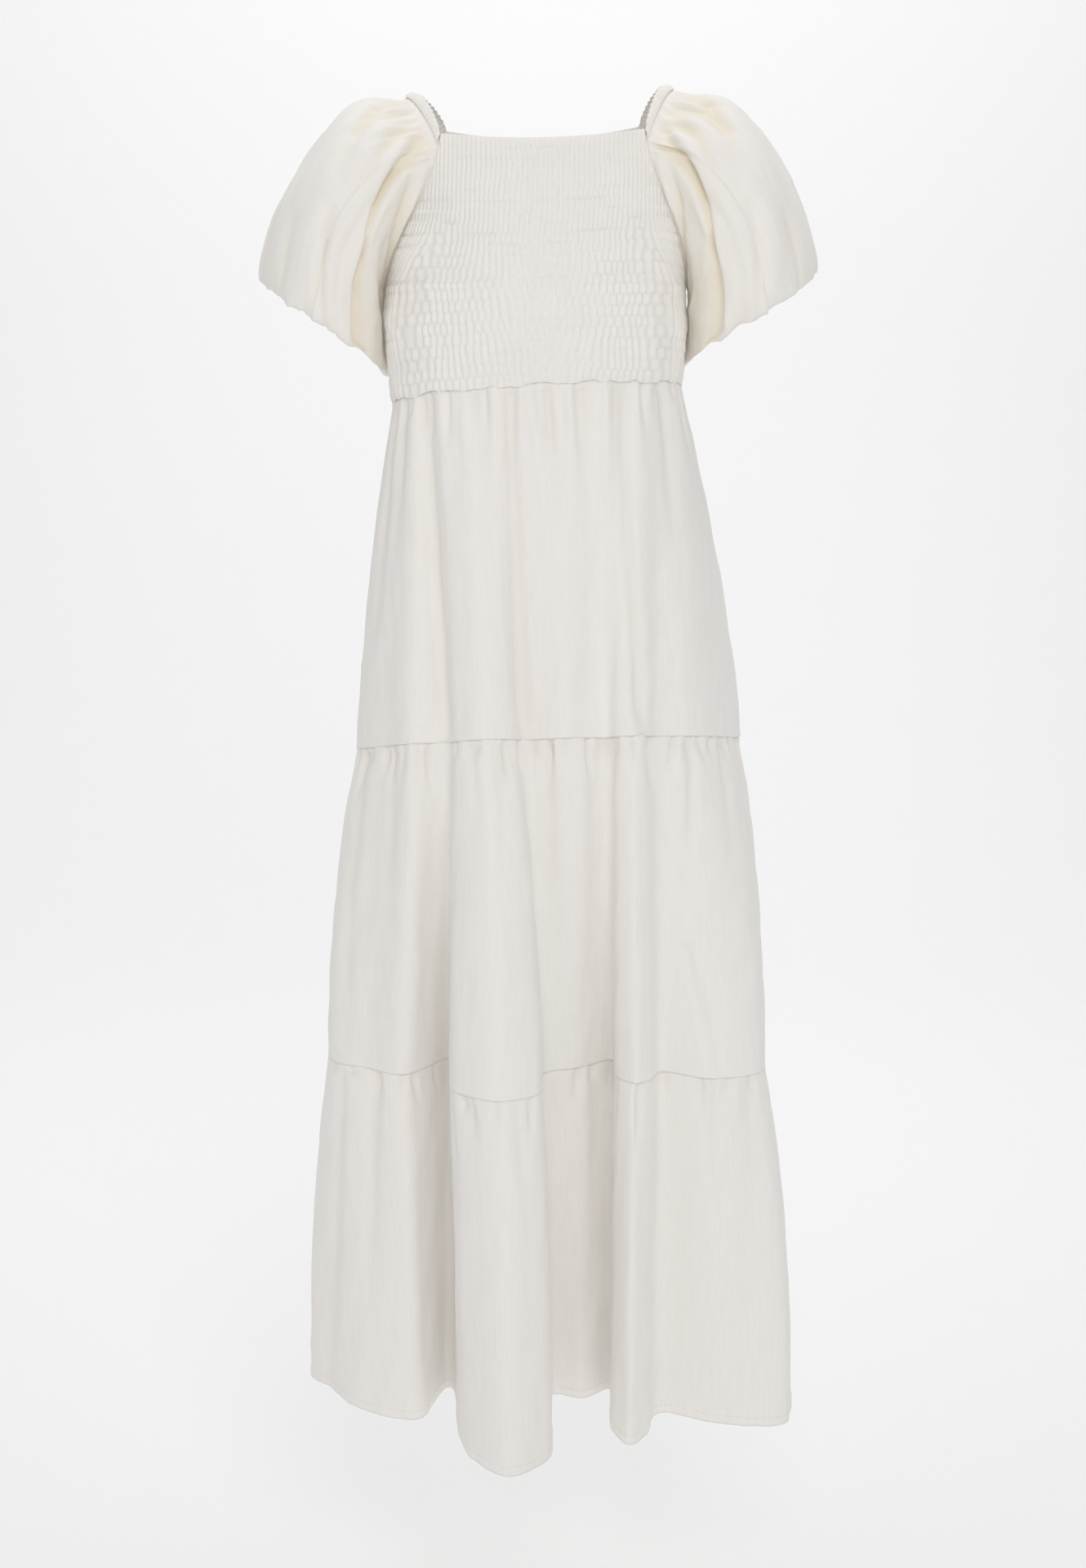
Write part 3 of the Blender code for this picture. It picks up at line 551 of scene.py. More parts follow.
# One dictionary a tier: how fast it swells, its gathers and its own creases.
# gathers: how many in front and behind, least and greatest length, half width and depth (mm)
# creases: fold line at the top and at the foot, start and end down the tier, half width, depth (mm,
# minus raises a ridge)
tiers = (
    {
        "name": "upper",
        "swell": 1.35,
        "gathers": {
            "front": 30, "back": 26, "length": (28, 120),
            "width": (2.6, 5.0), "depth": (1.0, 2.6),
        },
        "creases": (
            (4.0, 4.0, 0.0, 1.0, 6, 5.0), (4.9, 4.8, 0.0, 0.7, 6, -2.0),
            (2.0, 2.1, 0.0, 0.6, 6, 3.4), (3.0, 3.0, 0.0, 0.5, 7, -2.2),
            (1.0, 1.2, 0.0, 0.9, 7, 4.2), (5.9, 6.1, 0.0, 0.42, 5, -2.5),
            (6.6, 6.7, 0.0, 0.5, 5, 3.1), (7.35, 7.0, 0.0, 0.55, 5, -2.8),
            (8.05, 8.0, 0.0, 1.0, 5, 5.5), (8.43, 8.6, 0.0, 0.45, 4.5, -2.5),
            (8.75, 8.9, 0.0, 0.6, 4.5, 2.8), (9.1, 9.4, 0.0, 0.4, 5, -2.5),
            (9.5, 9.6, 0.0, 0.55, 5, 3.1), (10.0, 10.4, 0.0, 0.95, 6, -4.4),
            (10.9, 12.6, 0.0, 1.0, 5.5, 5.0), (12.2, 13.4, 0.0, 0.5, 7, -2.5),
            (14.5, 15.0, 0.0, 0.7, 7, 4.5), (15.4, 15.7, 0.0, 0.4, 7, -2.2),
            (18.6, 18.5, 0.0, 0.8, 7, 3.6), (19.6, 19.4, 0.0, 0.5, 6, 3.4),
            (20.5, 20.6, 0.0, 0.9, 7, 3.9), (21.4, 21.2, 0.0, 0.45, 6, 3.1),
            (22.4, 22.6, 0.0, 0.75, 7, 3.9), (23.3, 23.2, 0.0, 0.55, 6, 3.1),
            (24.6, 24.5, 0.0, 0.85, 7, 3.9), (25.5, 25.5, 0.0, 0.5, 6, 3.4),
            (26.6, 26.7, 0.0, 0.8, 7, 3.6),
        ),
    },
    {
        "name": "middle",
        "swell": 1.9,
        "gathers": {
            "front": 34, "back": 30, "length": (26, 95),
            "width": (2.6, 5.2), "depth": (1.4, 3.2),
        },
        "creases": (
            (1.0, 1.3, 0.0, 1.0, 8, 3.9), (2.4, 2.5, 0.0, 0.6, 7, 3.4),
            (3.1, 3.2, 0.1, 1.0, 10, -2.9), (5.6, 5.6, 0.0, 0.35, 5, 2.3),
            (6.5, 6.4, 0.0, 0.5, 6, 2.3), (7.6, 7.3, 0.0, 0.3, 5, 2.3),
            (8.6, 8.4, 0.0, 0.7, 7, 3.1), (9.4, 9.2, 0.0, 0.9, 8, -2.9),
            (10.4, 10.3, 0.0, 0.5, 5, 2.6), (15.05, 14.55, 0.0, 0.62, 5, 4.7),
            (14.55, 15.2, 0.55, 1.0, 5, 3.1), (15.9, 15.6, 0.0, 0.5, 6, 3.1),
            (16.5, 16.4, 0.0, 0.8, 7, 3.4), (18.4, 18.5, 0.0, 0.7, 7, 3.6),
            (20.4, 20.2, 0.0, 0.55, 6, 3.1), (22.5, 22.6, 0.0, 0.7, 7, 3.4),
            (24.4, 24.6, 0.0, 0.6, 6, 3.1), (26.5, 26.4, 0.0, 0.8, 7, 3.6),
        ),
    },
    {
        "name": "lower",
        "swell": 2.0,
        "gathers": {
            "front": 30, "back": 28, "length": (24, 90),
            "width": (2.8, 5.4), "depth": (1.4, 3.2),
        },
        "creases": (
            (1.1, 0.9, 0.0, 1.0, 8, 3.6), (2.3, 2.0, 0.0, 0.9, 8, 3.6),
            (3.1, 3.1, 0.1, 1.0, 10, -2.9), (6.5, 6.6, 0.0, 0.4, 6, 2.3),
            (7.5, 7.4, 0.0, 0.5, 6, 2.3), (9.2, 9.2, 0.0, 0.9, 8, -2.6),
            (15.0, 14.9, 0.0, 0.42, 5, 4.4), (15.7, 15.5, 0.0, 0.6, 7, 2.9),
            (16.4, 16.3, 0.3, 1.0, 9, 2.6), (18.5, 18.4, 0.0, 0.8, 7, 3.4),
            (20.5, 20.6, 0.0, 0.6, 7, 3.1), (22.4, 22.4, 0.0, 0.75, 7, 3.4),
            (24.5, 24.4, 0.0, 0.6, 7, 3.1), (26.4, 26.5, 0.0, 0.9, 7, 3.6),
        ),
    },
)


# The skirt's outline at the waist, the two seams and the hem, at places counted in fold lines
def skirtLevels(places):
    lines = skirt["lines"]
    angles = np.radians([line[0] for line in lines] + [lines[0][0] + 360])
    angle = np.interp(places % len(lines), np.arange(len(angles)), angles)
    levels = [waistPoint(angle)]
    for first, level in ((1, skirt["seam1"]), (3, skirt["seam2"]), (5, None)):
        outline = table([line[first : first + 2] for line in lines])
        roundness = np.where(np.arange(len(lines)) > skirt["backStart"], skirt["backRoundness"], 1.0)
        x, y = closedCurve(outline, places, roundness).T
        if level:
            z = seamHeight(level, x, y)
        else:
            behind = np.clip(y - skirt["hemFront"], 0, skirt["hemRiseDepth"])
            z = skirt["hemLevel"] + skirt["hemRise"] * behind
        levels.append(np.stack([x, y, z], -1))
    return levels


def levelNormal(ring):
    return outwardOf(np.roll(ring, -1, -2) - np.roll(ring, 1, -2))


# Columns of cloth for a tier, even in length along it, and the column that starts the back
def columnPlaces(index):
    fine = np.linspace(0, len(skirt["lines"]), 2801)
    levels = skirtLevels(fine)
    ring = (levels[index] + levels[index + 1]) / 2
    lengths = np.concatenate([[0], np.cumsum(np.linalg.norm(np.diff(ring, axis=0), axis=-1))])
    split = np.interp(skirt["backStart"], fine, lengths)
    front = np.linspace(0, split, skirt["columns"]["front"] + 1)
    back = np.linspace(split, lengths[-1], skirt["columns"]["back"] + 1)
    wanted = np.concatenate([front[:-1], back[:-1]])
    return np.interp(wanted, lengths, fine), skirt["columns"]["front"]


# One row a gather or crease: fold line at top and foot, start and end, half width, depth
def tierCreases(index, places, topLengths):
    tier = tiers[index]
    gathers = tier["gathers"]
    chance = np.random.default_rng(70 + index)
    tierLength = (skirt["seam1"]["level"] - skirt["seam2"]["level"]) / milli
    rows = [list(row) for row in tier["creases"]]
    whole = len(skirt["lines"])
    for side, first, last in (("front", 0, skirt["backStart"]), ("back", skirt["backStart"], whole)):
        begin, end = np.interp([first, last], np.append(places, whole), topLengths)
        count = gathers[side]
        for k in range(count):
            at = begin + (end - begin) * (k + 0.5 + chance.uniform(-0.38, 0.38)) / count
            place = np.interp(at, topLengths, np.append(places, whole))
            length = chance.uniform(*gathers["length"]) * chance.uniform(0.5, 1.0) / tierLength
            lean = chance.uniform(-0.16, 0.16)
            width = chance.uniform(*gathers["width"])
            depth = chance.uniform(*gathers["depth"]) * skirt["gatherStrength"]
            rows.append([place, place + lean, 0.0, length, width, depth])
    return rows


def makeTier(index):
    tier = tiers[index]
    places, back = columnPlaces(index)
    count, whole = len(places), len(skirt["lines"])
    top, bottom = skirtLevels(places)[index : index + 2]
    fall = bottom - top
    level = np.array([1.0, 1.0, 0.0])
    outward = (fall * levelNormal(top) * level).sum(1) / np.linalg.norm(fall * level, axis=1)
    power = 1 + (tier["swell"] - 1) * smoothStep(outward * 1.5 + 0.5)
    zones = [np.linspace(a, b, n, endpoint=False) for a, b, n in skirt["rowZones"]]
    shares = np.concatenate(zones + [[1.0]])
    share = shares[:, None]
    flare = 1 - (1 - share) ** power
    ring = top + fall * np.stack([flare, flare, share + 0 * flare], -1)
    normal = levelNormal(ring)
    closed = np.concatenate([ring, ring[:, :1]], 1)
    around = rowLengths(closed)
    total = around[:, -1]
    down = share * np.abs(fall[:, 2])
    push = np.zeros(share.shape[:1] + (count,))
    ends = np.append(places, whole)
    for topPlace, footPlace, begin, end, width, depth in tierCreases(index, places, around[0]):
        along = np.clip((shares - begin) / (end - begin), 0, 1)
        place = topPlace + (footPlace - topPlace) * along
        centre = np.array([np.interp(at % whole, ends, line) for at, line in zip(place, around)])
        apart = wrapped(around[:, :-1] - centre[:, None], total[:, None])
        wider = width * milli * (1 + 0.5 * along[:, None])
        starting = 1.0 if begin == 0 else 0.0
        fading = starting + (1 - starting) * smoothStep(along * 4)
        fading = fading * (1 - smoothStep((along - 0.15) / 0.85) * (end < 1))
        push -= depth * milli * fading[:, None] * hump(apart, wider)
    # gathers start small at the stitching, with a fine crimp beside it
    least, reach = skirt["gatherEdge"]
    push *= least + (1 - least) * smoothStep(down / reach)
    u = around[:, :-1]
    height, pitch, reach, start = skirt["crimp"]
    crimp = softNoise(u + 0.2, 0 * down + 0 * push, pitch, 1.0, 50 + index)
    push += height * crimp * smoothStep(1 - down / reach) * smoothStep(down / start)
    # crinkle of the cloth itself
    for height, slant, sizeU, sizeV, seed in skirt["crinkles"]:
        noise = softNoise(u + slant * down, down, sizeU, sizeV, seed + index)
        push += height * noise * smoothStep(down / skirt["crinklesReach"])
    left = (1 - share) * np.abs(fall[:, 2])
    # painted shade deep in the creases and gathers
    foldShade = skirt["foldShadeStrength"] * smoothStep(-push / skirt["foldShadeDepth"])
    if index < len(tiers) - 1:
        # creases flatten out where the next tier is sewn on
        push *= least + (1 - least) * smoothStep(left / skirt["flatteningReach"])
        push += skirt["seamRidge"] * smoothStep(1.5 - left / skirt["seamRidgeHeight"])
    else:
        push += skirt["hemStep"] * smoothStep((skirt["hemHeight"] - left) / skirt["hemStepWidth"])
        depth, lift, width = skirt["hemGroove"]
        push -= depth * hump(left - skirt["hemHeight"] + lift, width)
    ring = ring + normal * push[..., None]
    # the top edge is tucked up behind the bodice or the tier above
    tuck = smoothStep(1 - down / skirt["tuckReach"])
    ring -= normal * (skirt["tuckDepth"] * tuck)[..., None]
    ring[0, :, 2] += skirt["tuck"]
    pieces = {}
    for side, first, last in (("front", 0, back), ("back", back, count)):
        picked = np.arange(first, last + 1) % count
        panel = ring[:, picked].copy()
        for edge, beside in ((0, 1), (-1, -2)):
            panel[:, edge] += unit(panel[:, beside] - panel[:, edge]) * seamGap / 2
        name = f"skirt{tier['name'].capitalize()}{side.capitalize()}Cloth"
        piece = makeCloth(name, panel, skirt["thickness"], foldShade[:, picked])
        wear(piece, skirtCloth, f"skirt_{tier['name']}_{side}")
        pieces[side] = (piece, panel)
    return pieces, left


# Stitches along the hem: small joined beads of thread
stitches = {"pitch": 0.0034, "length": 0.0012, "width": 0.00028, "above": 0.0095, "lift": 0.0001}
stitchSegments = (6, 4)


def makeHemStitches(name, panel, left):
    height = left[:, : panel.shape[1]].mean(1)
    row = int(np.argmin(np.abs(height - stitches["above"])))
    line = panel[row]
    lengths = rowLengths(panel)[row]
    bm = bmesh.new()
    pitch, width = stitches["pitch"], stitches["width"]
    for at in np.arange(pitch, lengths[-1] - pitch, pitch):
        spot, ahead = [
            np.array([np.interp(at + step, lengths, values) for values in line.T])
            for step in (0, milli)
        ]
        tangent = unit(ahead - spot)
        outward = unit(np.array([tangent[1], -tangent[0], 0.0]))
        up = np.cross(tangent, outward)
        turn = Matrix((tangent, outward, up)).transposed().to_4x4()
        size = Matrix.Diagonal((stitches["length"], width, width, 1.0))
        place = Matrix.Translation(Vector(spot + outward * stitches["lift"])) @ turn @ size
        u, v = stitchSegments
        bmesh.ops.create_uvsphere(bm, u_segments=u, v_segments=v, radius=1.0, matrix=place)
    mesh = meshFrom(bm, name)
    mesh.uv_layers.new(name="cloth")
    mesh.shade_smooth()
    piece = placed(name, mesh)
    piece.data.materials.append(threadCloth)
    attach(piece, "root")
    return piece


# Make the tiers, and stitches along the hem of the lowest
for index, tier in enumerate(tiers):
    panels, left = makeTier(index)
    for side, (piece, panel) in panels.items():
        if index == len(tiers) - 1:
            makeHemStitches("hemStitches" + side.capitalize(), panel, left)
print("skirt made")

# Sleeve: columns run from the front neck corner over the shoulder to the back corner, then down the
# back of the armhole and up its front
sleeve = {
    "neckColumns": 20,
    "wholeColumns": 44,
    "topColumn": 10,
    "grid": (420, 96),
    "casingWidth": 0.009,
    "casingLean": (0.95, -0.30),
    "shoulderOut": 0.117,
    "shoulderTop": -0.0035,
    "neckOut": 1.2,
    "neckUp": 2.1,
    # lengthwise lines of the puff: column, then outward, y, z (mm) at the upper swell, the lower
    # swell and the turn above the cuff
    "lines": (
        (0, 132, -96, -66, 190, -106, -134, 208, -84, -208),
        (5, 158, -66, -26, 222, -80, -108, 243, -60, -188),
        (10, 172, 0, -12, 242, 0, -98, 262, 0, -172),
        (15, 160, 66, -25, 224, 80, -108, 244, 60, -186),
        (20, 134, 94, -62, 191, 104, -132, 208, 84, -206),
        (26, 140, 84, -132, 166, 84, -188, 167, 62, -238),
        (32, 150, 11, -198, 143.6, 28, -231, 151.6, 29, -256),
        (38, 138, -86, -128, 164, -88, -181, 174, -71, -232),
    ),
    "cuff": {
        "centre": (0.201, 0.0, -0.191),
        "halfAlong": 0.044,
        "halfAcross": 0.046,
        "slope": math.radians(35),
    },
    "cuffHeight": 0.009,
    "torsoReach": (0.12, 0.19),
    "casingSteps": 160,
    # under the arm it hangs closer to the bodice and further back: column, half width in columns
    "hanging": (32, 4.5),
    "hangingBy": {"right": (0.0055, 0.010), "left": (0.0055, 0.014)},
    # folds: column at the top and at the cuff, start and end, half width in columns, depth (mm,
    # minus raises a ridge); in front first, then behind, then under the arm
    "folds": (
        (7.2, 2.2, 0.02, 0.42, 0.9, 7.5), (1.2, -1.6, 0.46, 0.84, 0.9, 5.0),
        (1.6, -6.0, 0.02, 0.46, 0.8, 12.0), (-5.0, -7.6, 0.36, 0.90, 0.7, 11.0),
        (-3.6, -6.0, 0.16, 0.80, 0.9, -3.0), (9.4, 9.0, 0.02, 0.34, 0.7, 4.5),
        (4.6, 3.6, 0.02, 0.30, 0.6, 5.5), (3.0, 0.2, 0.02, 0.36, 0.7, 5.5),
        (0.0, -3.0, 0.02, 0.30, 0.6, 5.0), (-2.2, -3.4, 0.30, 0.86, 0.8, 3.0),
        (4.8, 4.2, 0.55, 0.90, 0.8, 3.0), (8.0, 8.6, 0.50, 0.90, 0.9, 3.0),
        (12.8, 17.6, 0.02, 0.42, 0.9, 7.5), (18.8, 21.6, 0.46, 0.84, 0.9, 5.0),
        (18.4, 26.0, 0.02, 0.46, 0.8, 12.0), (25.0, 27.6, 0.36, 0.90, 0.7, 10.0),
        (23.6, 26.0, 0.16, 0.80, 0.9, -3.0), (10.8, 11.4, 0.02, 0.34, 0.7, 4.5),
        (15.4, 16.6, 0.02, 0.30, 0.6, 5.5), (17.0, 20.0, 0.02, 0.36, 0.7, 5.0),
        (30.0, 30.5, 0.10, 0.90, 1.0, 3.0), (34.5, 34.0, 0.10, 0.90, 1.0, 3.0),
    ),
    # beside the armhole the cloth rolls over: share along the sleeve, half width, height (mm)
    "roll": ((0.036, 0.018, 2.4), (0.098, 0.030, -3.6)),
    "rollUneven": (0.4, 2.2),
    # gathers: how many, first column, over how many, then spans of depth (mm), of length as a share
    # of the sleeve and of half width in columns, and the lean in columns
    "neckGathers": (26, -2, 24, (2.4, 5.0), (0.16, 0.46), (0.26, 0.5), 1.2),
    "cuffGathers": (46, 0, 44, (2.2, 4.6), (0.12, 0.32), (0.24, 0.44), 1.0),
    "crinkles": ((0.0028, 0.2, 0.027, 0.06, 80), (0.0008, -0.2, 0.010, 0.03, 84)),
    "crinkleEnds": (0.1, 0.15),
    "seamReach": 0.02,
    "gatherReach": 0.03,
    "tuck": (0.0016, 0.0009),
    "bodiceClear": 0.0045,
    "clearBelow": -0.05,
    "clearFade": 0.03,
    "foldShadeDepth": 0.0085,
    # shade under the arm: column, half width in columns, strength, loss of it down the sleeve
    "underarmShade": (33, 8, 0.6, 0.4),
    "flat": (0.46, 0.31),
}
sleeveSides = {
    "right": {"sign": -1.0, "outward": 0.0025, "cuffOutward": 0.007, "rise": 0.0, "seed": 5},
    "left": {"sign": 1.0, "outward": -0.004, "cuffOutward": -0.006, "rise": 0.007, "seed": 9},
}


# Columns run round to the wearer's left, so those of the right side are turned about
def runLeft(side, points, foldShade):
    if sleeveSides[side]["sign"] < 0:
        return points[:, ::-1], foldShade[:, ::-1]
    return points, foldShade


def armholeEdge(panel, sign, row):
    row = np.asarray(row, float)
    rows = bodice["elasticRows"]
    point, normal = bodicePoint(panel, sign + 0 * row, row / rows, 0.5 * seamGap)
    point[..., 2] += seamGap * (row / bodice["armholeRows"]) ** 4
    return point, normal


# The casing's top edge, its way down to the sleeve and its outward normal; share runs front to back
def casingFrame(share, side):
    worn = sleeveSides[side]
    sign = worn["sign"]
    points, normals = zip(*[armholeEdge(panel, sign, [0, 1]) for panel in ("front", "back")])
    turn = 1 - 2 * share
    near = np.abs(turn)[..., None]
    inFront = (turn > 0)[..., None]
    corner = np.where(inFront, points[0][0], points[1][0])
    foot = np.where(inFront, points[0][1], points[1][1])
    sideNormal = np.where(inFront, normals[0][0], normals[1][0])
    out, up = sleeve["shoulderOut"] + worn["outward"], sleeve["shoulderTop"] + worn["rise"]
    shoulder = np.array([sign * out, 0.0, up])
    bend = np.concatenate([near ** sleeve["neckOut"], near, near ** sleeve["neckUp"]], -1)
    top = shoulder + (corner - shoulder) * bend
    lean = sleeve["casingLean"]
    over = np.array([sign * lean[0], 0.0, lean[1]]) * sleeve["casingWidth"]
    way = over * (1 - near**2) + (foot - corner) * near**2
    normal = unit(np.cross(np.gradient(top, axis=0), way) * -sign)
    atCorner = near**8
    return top, way, unit(normal * (1 - atCorner) + sideNormal * atCorner)


def interpolatedRows(values, place):
    low = np.clip(np.floor(place).astype(int), 0, len(values) - 2)
    part = (place - low)[:, None]
    return values[low] * (1 - part) + values[low + 1] * part


# The loop in which a sleeve begins: the casing's foot, then the armhole, behind and in front
def sleeveStart(side, column):
    sign = sleeveSides[side]["sign"]
    neckColumns, underarm = sleeve["neckColumns"], bodice["armholeRows"]
    steps = sleeve["casingSteps"]
    top, way, normal = casingFrame(np.linspace(0, 1, steps + 1), side)
    place = np.clip(column / neckColumns, 0, 1) * steps
    points, normals = interpolatedRows(top + way, place), interpolatedRows(normal, place)
    backRow = np.clip(column - neckColumns + 1, 1, underarm)
    frontRow = np.clip(sleeve["wholeColumns"] - column + 1, 1, underarm)
    back, front = armholeEdge("back", sign, backRow), armholeEdge("front", sign, frontRow)
    onBack = ((column > neckColumns) & (column <= neckColumns + underarm - 1))[:, None]
    onFront = (column > neckColumns + underarm - 1)[:, None]
    points = np.where(onBack, back[0], np.where(onFront, front[0], points))
    return points, np.where(onBack, back[1], np.where(onFront, front[1], normals))


def cuffPoint(side, column, drop):
    worn, cuff = sleeveSides[side], sleeve["cuff"]
    turn = 2 * math.pi * (column - sleeve["topColumn"]) / sleeve["wholeColumns"]
    slope = cuff["slope"]
    centreX, centreY, centreZ = cuff["centre"]
    out = centreX + worn["cuffOutward"] + cuff["halfAlong"] * np.cos(turn) * math.cos(slope)
    z = centreZ + worn["rise"] + cuff["halfAlong"] * np.cos(turn) * math.sin(slope)
    y = centreY + cuff["halfAcross"] * np.sin(turn)
    return np.stack([worn["sign"] * (out + drop * math.sin(slope)), y, z - drop * math.cos(slope)], -1)


def puffControls(side, column):
    worn = sleeveSides[side]
    rows = np.array(sleeve["lines"], float)
    ends = np.append(rows[:, 0], sleeve["wholeColumns"])
    place = np.interp(column % sleeve["wholeColumns"], ends, np.arange(len(ends)))
    found = closedCurve(table(rows[:, 1:]), place).reshape(-1, 3, 3)
    found[..., 0] = worn["sign"] * (found[..., 0] + worn["outward"])
    found[..., 2] += worn["rise"]
    inward, behind = sleeve["hangingBy"][side]
    at, width = sleeve["hanging"]
    hanging = hump(column - at, width)
    found[..., 0] -= worn["sign"] * inward * hanging[:, None]
    found[..., 1] += behind * hanging[:, None]
    near, far = sleeve["torsoReach"]
    beside = np.clip((far - np.abs(found[..., 0])) / (far - near), 0, 1)
    found[..., 0] += torsoAt(found[..., 2])[3] * beside
    return found


def gridNormals(grid, sign):
    roundIt = np.roll(grid, -1, 1) - np.roll(grid, 1, 1)
    return unit(np.cross(np.gradient(grid, axis=0), roundIt) * sign)


# Cloth that would hang inside the bodice's side is brought out to lie on it
def clearOfBodice(points, share):
    half, front, back, centre = torsoAt(points[..., 2])
    clear = sleeve["bodiceClear"] * smoothStep(share / sleeve["gatherReach"])
    x, y = points[..., 0] - centre, points[..., 1]
    depth = np.where(y < 0, front, back) + clear
    power = torso["roundness"]
    reach = (np.abs(x / (half + clear)) ** power + np.abs(y / depth) ** power) ** (1 / power)
    below = smoothStep((sleeve["clearBelow"] - points[..., 2]) / sleeve["clearFade"])
    growth = 1 + (np.maximum(1 / reach, 1) - 1) * below
    return np.stack([centre + x * growth, y * growth, points[..., 2]], -1)


# How far a fold pushes the puff in; apart is counted in columns round the sleeve
def sleeveFold(column, share, top, foot, begin, end, width, depth):
    whole = sleeve["wholeColumns"]
    along = np.clip((share - begin) / (end - begin), 0, 1)
    apart = wrapped(column - top - (foot - top) * along, whole)
    return depth * milli * np.sin(math.pi * along**0.8) ** 0.7 * hump(apart, width)


# Small gathers drawn into the puff from one end; reach is the share of the way from there
def addGathers(push, column, reach, gathers, chance):
    count, first, columns, depths, shares, widths, lean = gathers
    for k in range(count):
        at = first + columns * (k + 0.5 + chance.uniform(-0.35, 0.35)) / count
        depth, length, width = [chance.uniform(*span) for span in (depths, shares, widths)]
        apart = wrapped(column - at - chance.uniform(-lean, lean) * reach, sleeve["wholeColumns"])
        fading = smoothStep(reach / sleeve["gatherReach"]) * (1 - smoothStep(reach / length))
        push -= depth * milli * fading * hump(apart, width)


def makeSleeve(side):
    sign, seed = sleeveSides[side]["sign"], sleeveSides[side]["seed"]
    whole = sleeve["wholeColumns"]
    columns, rows = sleeve["grid"]
    column = np.arange(columns) * whole / columns
    shares = np.linspace(0, 1, rows + 1)
    start, startNormal = sleeveStart(side, column)
    controls = puffControls(side, column).transpose(1, 0, 2)
    lines = np.stack([start, *controls, cuffPoint(side, column, 0.0)])
    grid = np.array([openCurve(lines, share) for share in shares])
    normal = gridNormals(grid, sign)
    share = shares[:, None]
    push = 0.0 * share * column
    for fold in sleeve["folds"]:
        push -= sleeveFold(column, share, *fold)
    armhole = smoothStep((column - sleeve["neckColumns"]) / 2) * smoothStep((whole - column) / 2)
    strength, size = sleeve["rollUneven"]
    uneven = 1 + strength * softNoise(column, 0 * column, size, 1.0, seed + 40)
    for at, width, height in sleeve["roll"]:
        push += height * milli * armhole * uneven * hump(share - at, width)
    chance = np.random.default_rng(seed)
    addGathers(push, column, share, sleeve["neckGathers"], chance)
    addGathers(push, column, 1 - share, sleeve["cuffGathers"], chance)
    u, v = rowLengths(grid).mean(0), share * 0.3
    atTop, atCuff = sleeve["crinkleEnds"]
    middle = smoothStep(share / atTop) * smoothStep((1 - share) / atCuff)
    for height, slant, sizeU, sizeV, more in sleeve["crinkles"]:
        push += height * softNoise(u + slant * v, v, sizeU, sizeV, seed + more) * middle
    # keep the seam line itself where the bodice and the casing have it
    push *= smoothStep(share / sleeve["seamReach"])
    cloth = clearOfBodice(grid + normal * push[..., None], share)
    # the top edge is tucked under the casing and the bodice
    up, inward = sleeve["tuck"]
    cloth[0] += unit(grid[0] - grid[1]) * up - startNormal * inward
    # painted shade deep in the folds, with more painted shade under the arm
    at, width, strength, loss = sleeve["underarmShade"]
    underarm = hump(column - at, width)
    foldShade = smoothStep(-push / sleeve["foldShadeDepth"]) + strength * underarm * (1 - loss * share)
    cloth, foldShade = runLeft(side, cloth, foldShade)
    piece = makeCloth(f"sleeve{side.capitalize()}Cloth", cloth, 0, foldShade, loop=True)
    wear(piece, sleeveCloth, "sleeve_" + side)


# Elastic casings: ribbed where the elastic gathers them
casing = {
    "columns": 220,
    "rows": 10,
    "thickness": 0.0008,
    "bulge": 0.0020,
    "ribPitch": 0.0042,
    "ribDepth": 0.0017,
    "ruffle": 0.0028,
    "ruffleWave": (0.2, 1.7),
    "endFade": 0.008,
    # unevenness of the ribs' pitch and height: strength, size
    "pitchNoise": (0.4, 0.011),
    "heightNoise": (0.3, 0.005),
    "archPower": 0.6,
    "flat": (0.20, 0.011),
    "cuffFlat": (0.30, 0.013),
}


# A ribbed strip from its top line to its foot line; ruffle is how far it reaches past the top line
def gatheredStrip(top, foot, normal, seed, ruffle=0.0):
    shares = np.linspace(0, 1, casing["rows"] + 1)[:, None, None]
    lengths = rowLengths(top[None])[0]
    depth, pitches = casing["ruffleWave"]
    wave = 1 - depth + depth * np.cos(2 * math.pi * lengths / (pitches * casing["ribPitch"]))
    ends = smoothStep(np.minimum(lengths, lengths[-1] - lengths) / casing["endFade"])
    top = top + unit(top - foot) * (ruffle * wave * ends)[:, None]
    strip = top + (foot - top) * shares
    lengths = rowLengths(strip)
    strength, size = casing["pitchNoise"]
    noise = softNoise(lengths + 0.1, 0 * lengths, size, 1.0, seed)
    phase = lengths / casing["ribPitch"] + strength * noise
    arch = np.sin(math.pi * shares[..., 0]) ** casing["archPower"]
    ribs = casing["ribDepth"] * (0.5 + 0.5 * np.cos(2 * math.pi * phase)) * (0.35 + 0.65 * arch)
    strength, size = casing["heightNoise"]
    ribs *= 1 - strength + strength * softNoise(lengths + 0.1, 0 * lengths, size, 1.0, seed + 1)
    # painted shade in the gaps between the ribs
    return strip + normal * (casing["bulge"] * arch + ribs)[..., None], 1 - ribs / casing["ribDepth"]


def makeNeckCasing(side):
    share = np.linspace(0, 1, casing["columns"] + 1)
    top, way, normal = casingFrame(share, side)
    foot = top + way * (1 - seamGap / sleeve["casingWidth"])
    strip, foldShade = gatheredStrip(top, foot, normal, 91, casing["ruffle"])
    strip, foldShade = runLeft(side, strip, foldShade)
    piece = makeCloth(f"neckCasing{side.capitalize()}Cloth", strip, casing["thickness"], foldShade)
    wear(piece, casingCloth, "neck_casing_" + side)


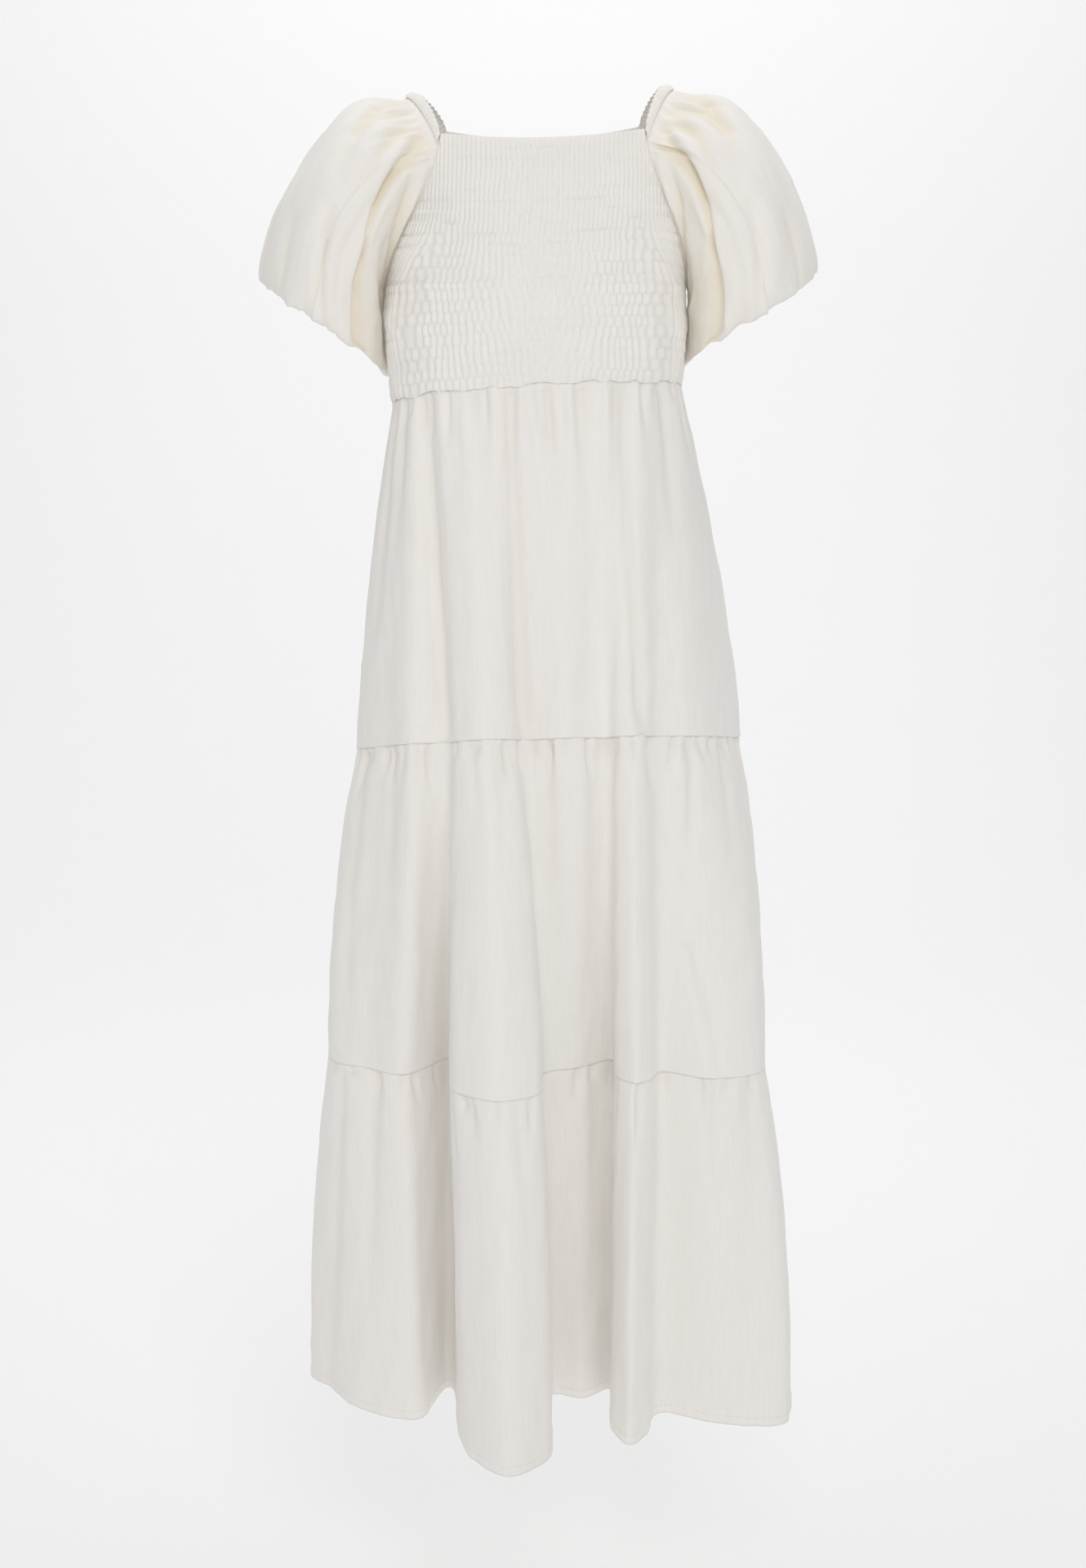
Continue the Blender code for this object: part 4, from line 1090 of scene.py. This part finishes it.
def makeCuff(side):
    column = np.arange(casing["columns"]) * sleeve["wholeColumns"] / casing["columns"]
    drops = (seamGap, seamGap + sleeve["cuffHeight"])
    top, foot = [cuffPoint(side, column, drop) for drop in drops]
    normal = gridNormals(np.array([top, foot]), sleeveSides[side]["sign"])[0]
    strip, foldShade = gatheredStrip(top, foot, normal, 95)
    strip, foldShade = runLeft(side, strip - normal * seamGap, foldShade)
    piece = makeCloth(f"cuff{side.capitalize()}Cloth", strip, casing["thickness"], foldShade, loop=True)
    wear(piece, casingCloth, "cuff_" + side)


for side in sleeveSides:
    makeSleeve(side)
    makeNeckCasing(side)
    makeCuff(side)
print("sleeves made")

# Studio: a pale floor that sweeps up into the backdrop, soft light and the camera
studio = {
    "floor": -1.62,
    "halfWidth": 7.0,
    "front": -5.0,
    "bendStart": 3.0,
    "bendRadius": 1.6,
    "bendSteps": 16,
    "height": 5.0,
    "paper": {"Base Color": (0.965, 0.965, 0.965, 1.0), "Roughness": 0.95, "Specular IOR Level": 0.1},
    "sky": {"Color": (1.0, 1.0, 1.0, 1.0), "Strength": 0.52},
}


def makeBackdrop():
    bm = bmesh.new()
    half, front, floor = studio["halfWidth"], studio["front"], studio["floor"]
    edge = bm.edges.new([bm.verts.new((x, front, floor)) for x in (-half, half)])

    def sweepTo(edges, step):
        out = bmesh.ops.extrude_edge_only(bm, edges=edges)
        moved = [item for item in out["geom"] if isinstance(item, bmesh.types.BMVert)]
        bmesh.ops.translate(bm, verts=moved, vec=step)
        return [item for item in out["geom"] if isinstance(item, bmesh.types.BMEdge)]

    edges = sweepTo([edge], (0, studio["bendStart"] - front, 0))
    steps, radius = studio["bendSteps"], studio["bendRadius"]
    for k in range(steps):
        a, b = [math.pi / 2 * j / steps for j in (k, k + 1)]
        behind, up = math.sin(b) - math.sin(a), math.cos(a) - math.cos(b)
        edges = sweepTo(edges, (0, radius * behind, radius * up))
    sweepTo(edges, (0, 0, studio["height"]))
    bmesh.ops.recalc_face_normals(bm, faces=bm.faces)
    mesh = meshFrom(bm, "backdrop")
    mesh.shade_smooth()
    backdrop = placed("backdrop", mesh)
    paper = bpy.data.materials.new("palePaper")
    paper.use_nodes = True
    shader = paper.node_tree.nodes["Principled BSDF"]
    setInputs(shader, studio["paper"])
    mesh.materials.append(paper)


makeBackdrop()

# Lights: name, place, aimed at, size and power (W)
lights = (
    ("keyLight", (0.35, -3.2, 0.8), (0.0, 0.0, -0.6), 1.2, 30),
    ("fillLight", (-2.2, -2.4, 0.2), (0.0, 0.0, -0.7), 2.0, 4),
    ("topLight", (0.0, 0.2, 2.2), (0.0, 0.1, -0.6), 1.8, 8),
    ("backdropLight", (0.0, 1.4, 2.6), (0.0, 4.4, 0.0), 3.0, 68),
)
for name, place, aim, size, power in lights:
    lamp = bpy.data.lights.new(name, "AREA")
    lamp.shape = "SQUARE"
    lamp.size = size
    lamp.energy = power
    light = placed(name, lamp)
    light.location = place
    light.rotation_euler = (Vector(aim) - Vector(place)).to_track_quat("-Z", "Y").to_euler()

world = bpy.data.worlds.new("studioWorld")
world.use_nodes = True
setInputs(world.node_tree.nodes["Background"], studio["sky"])
bpy.context.scene.world = world
bpy.context.scene.view_settings.view_transform = "Standard"

# The photograph's view: level with the bodice and pitched a little down
view = {"place": (0.0, -2.4, -0.2283), "pitch": math.radians(80), "lens": 57.58}
lens = bpy.data.cameras.new("camera")
lens.lens = view["lens"]
camera = placed("camera", lens)
camera.location = view["place"]
camera.rotation_euler = (view["pitch"], 0.0, 0.0)
bpy.context.scene.camera = camera
print("studio made")
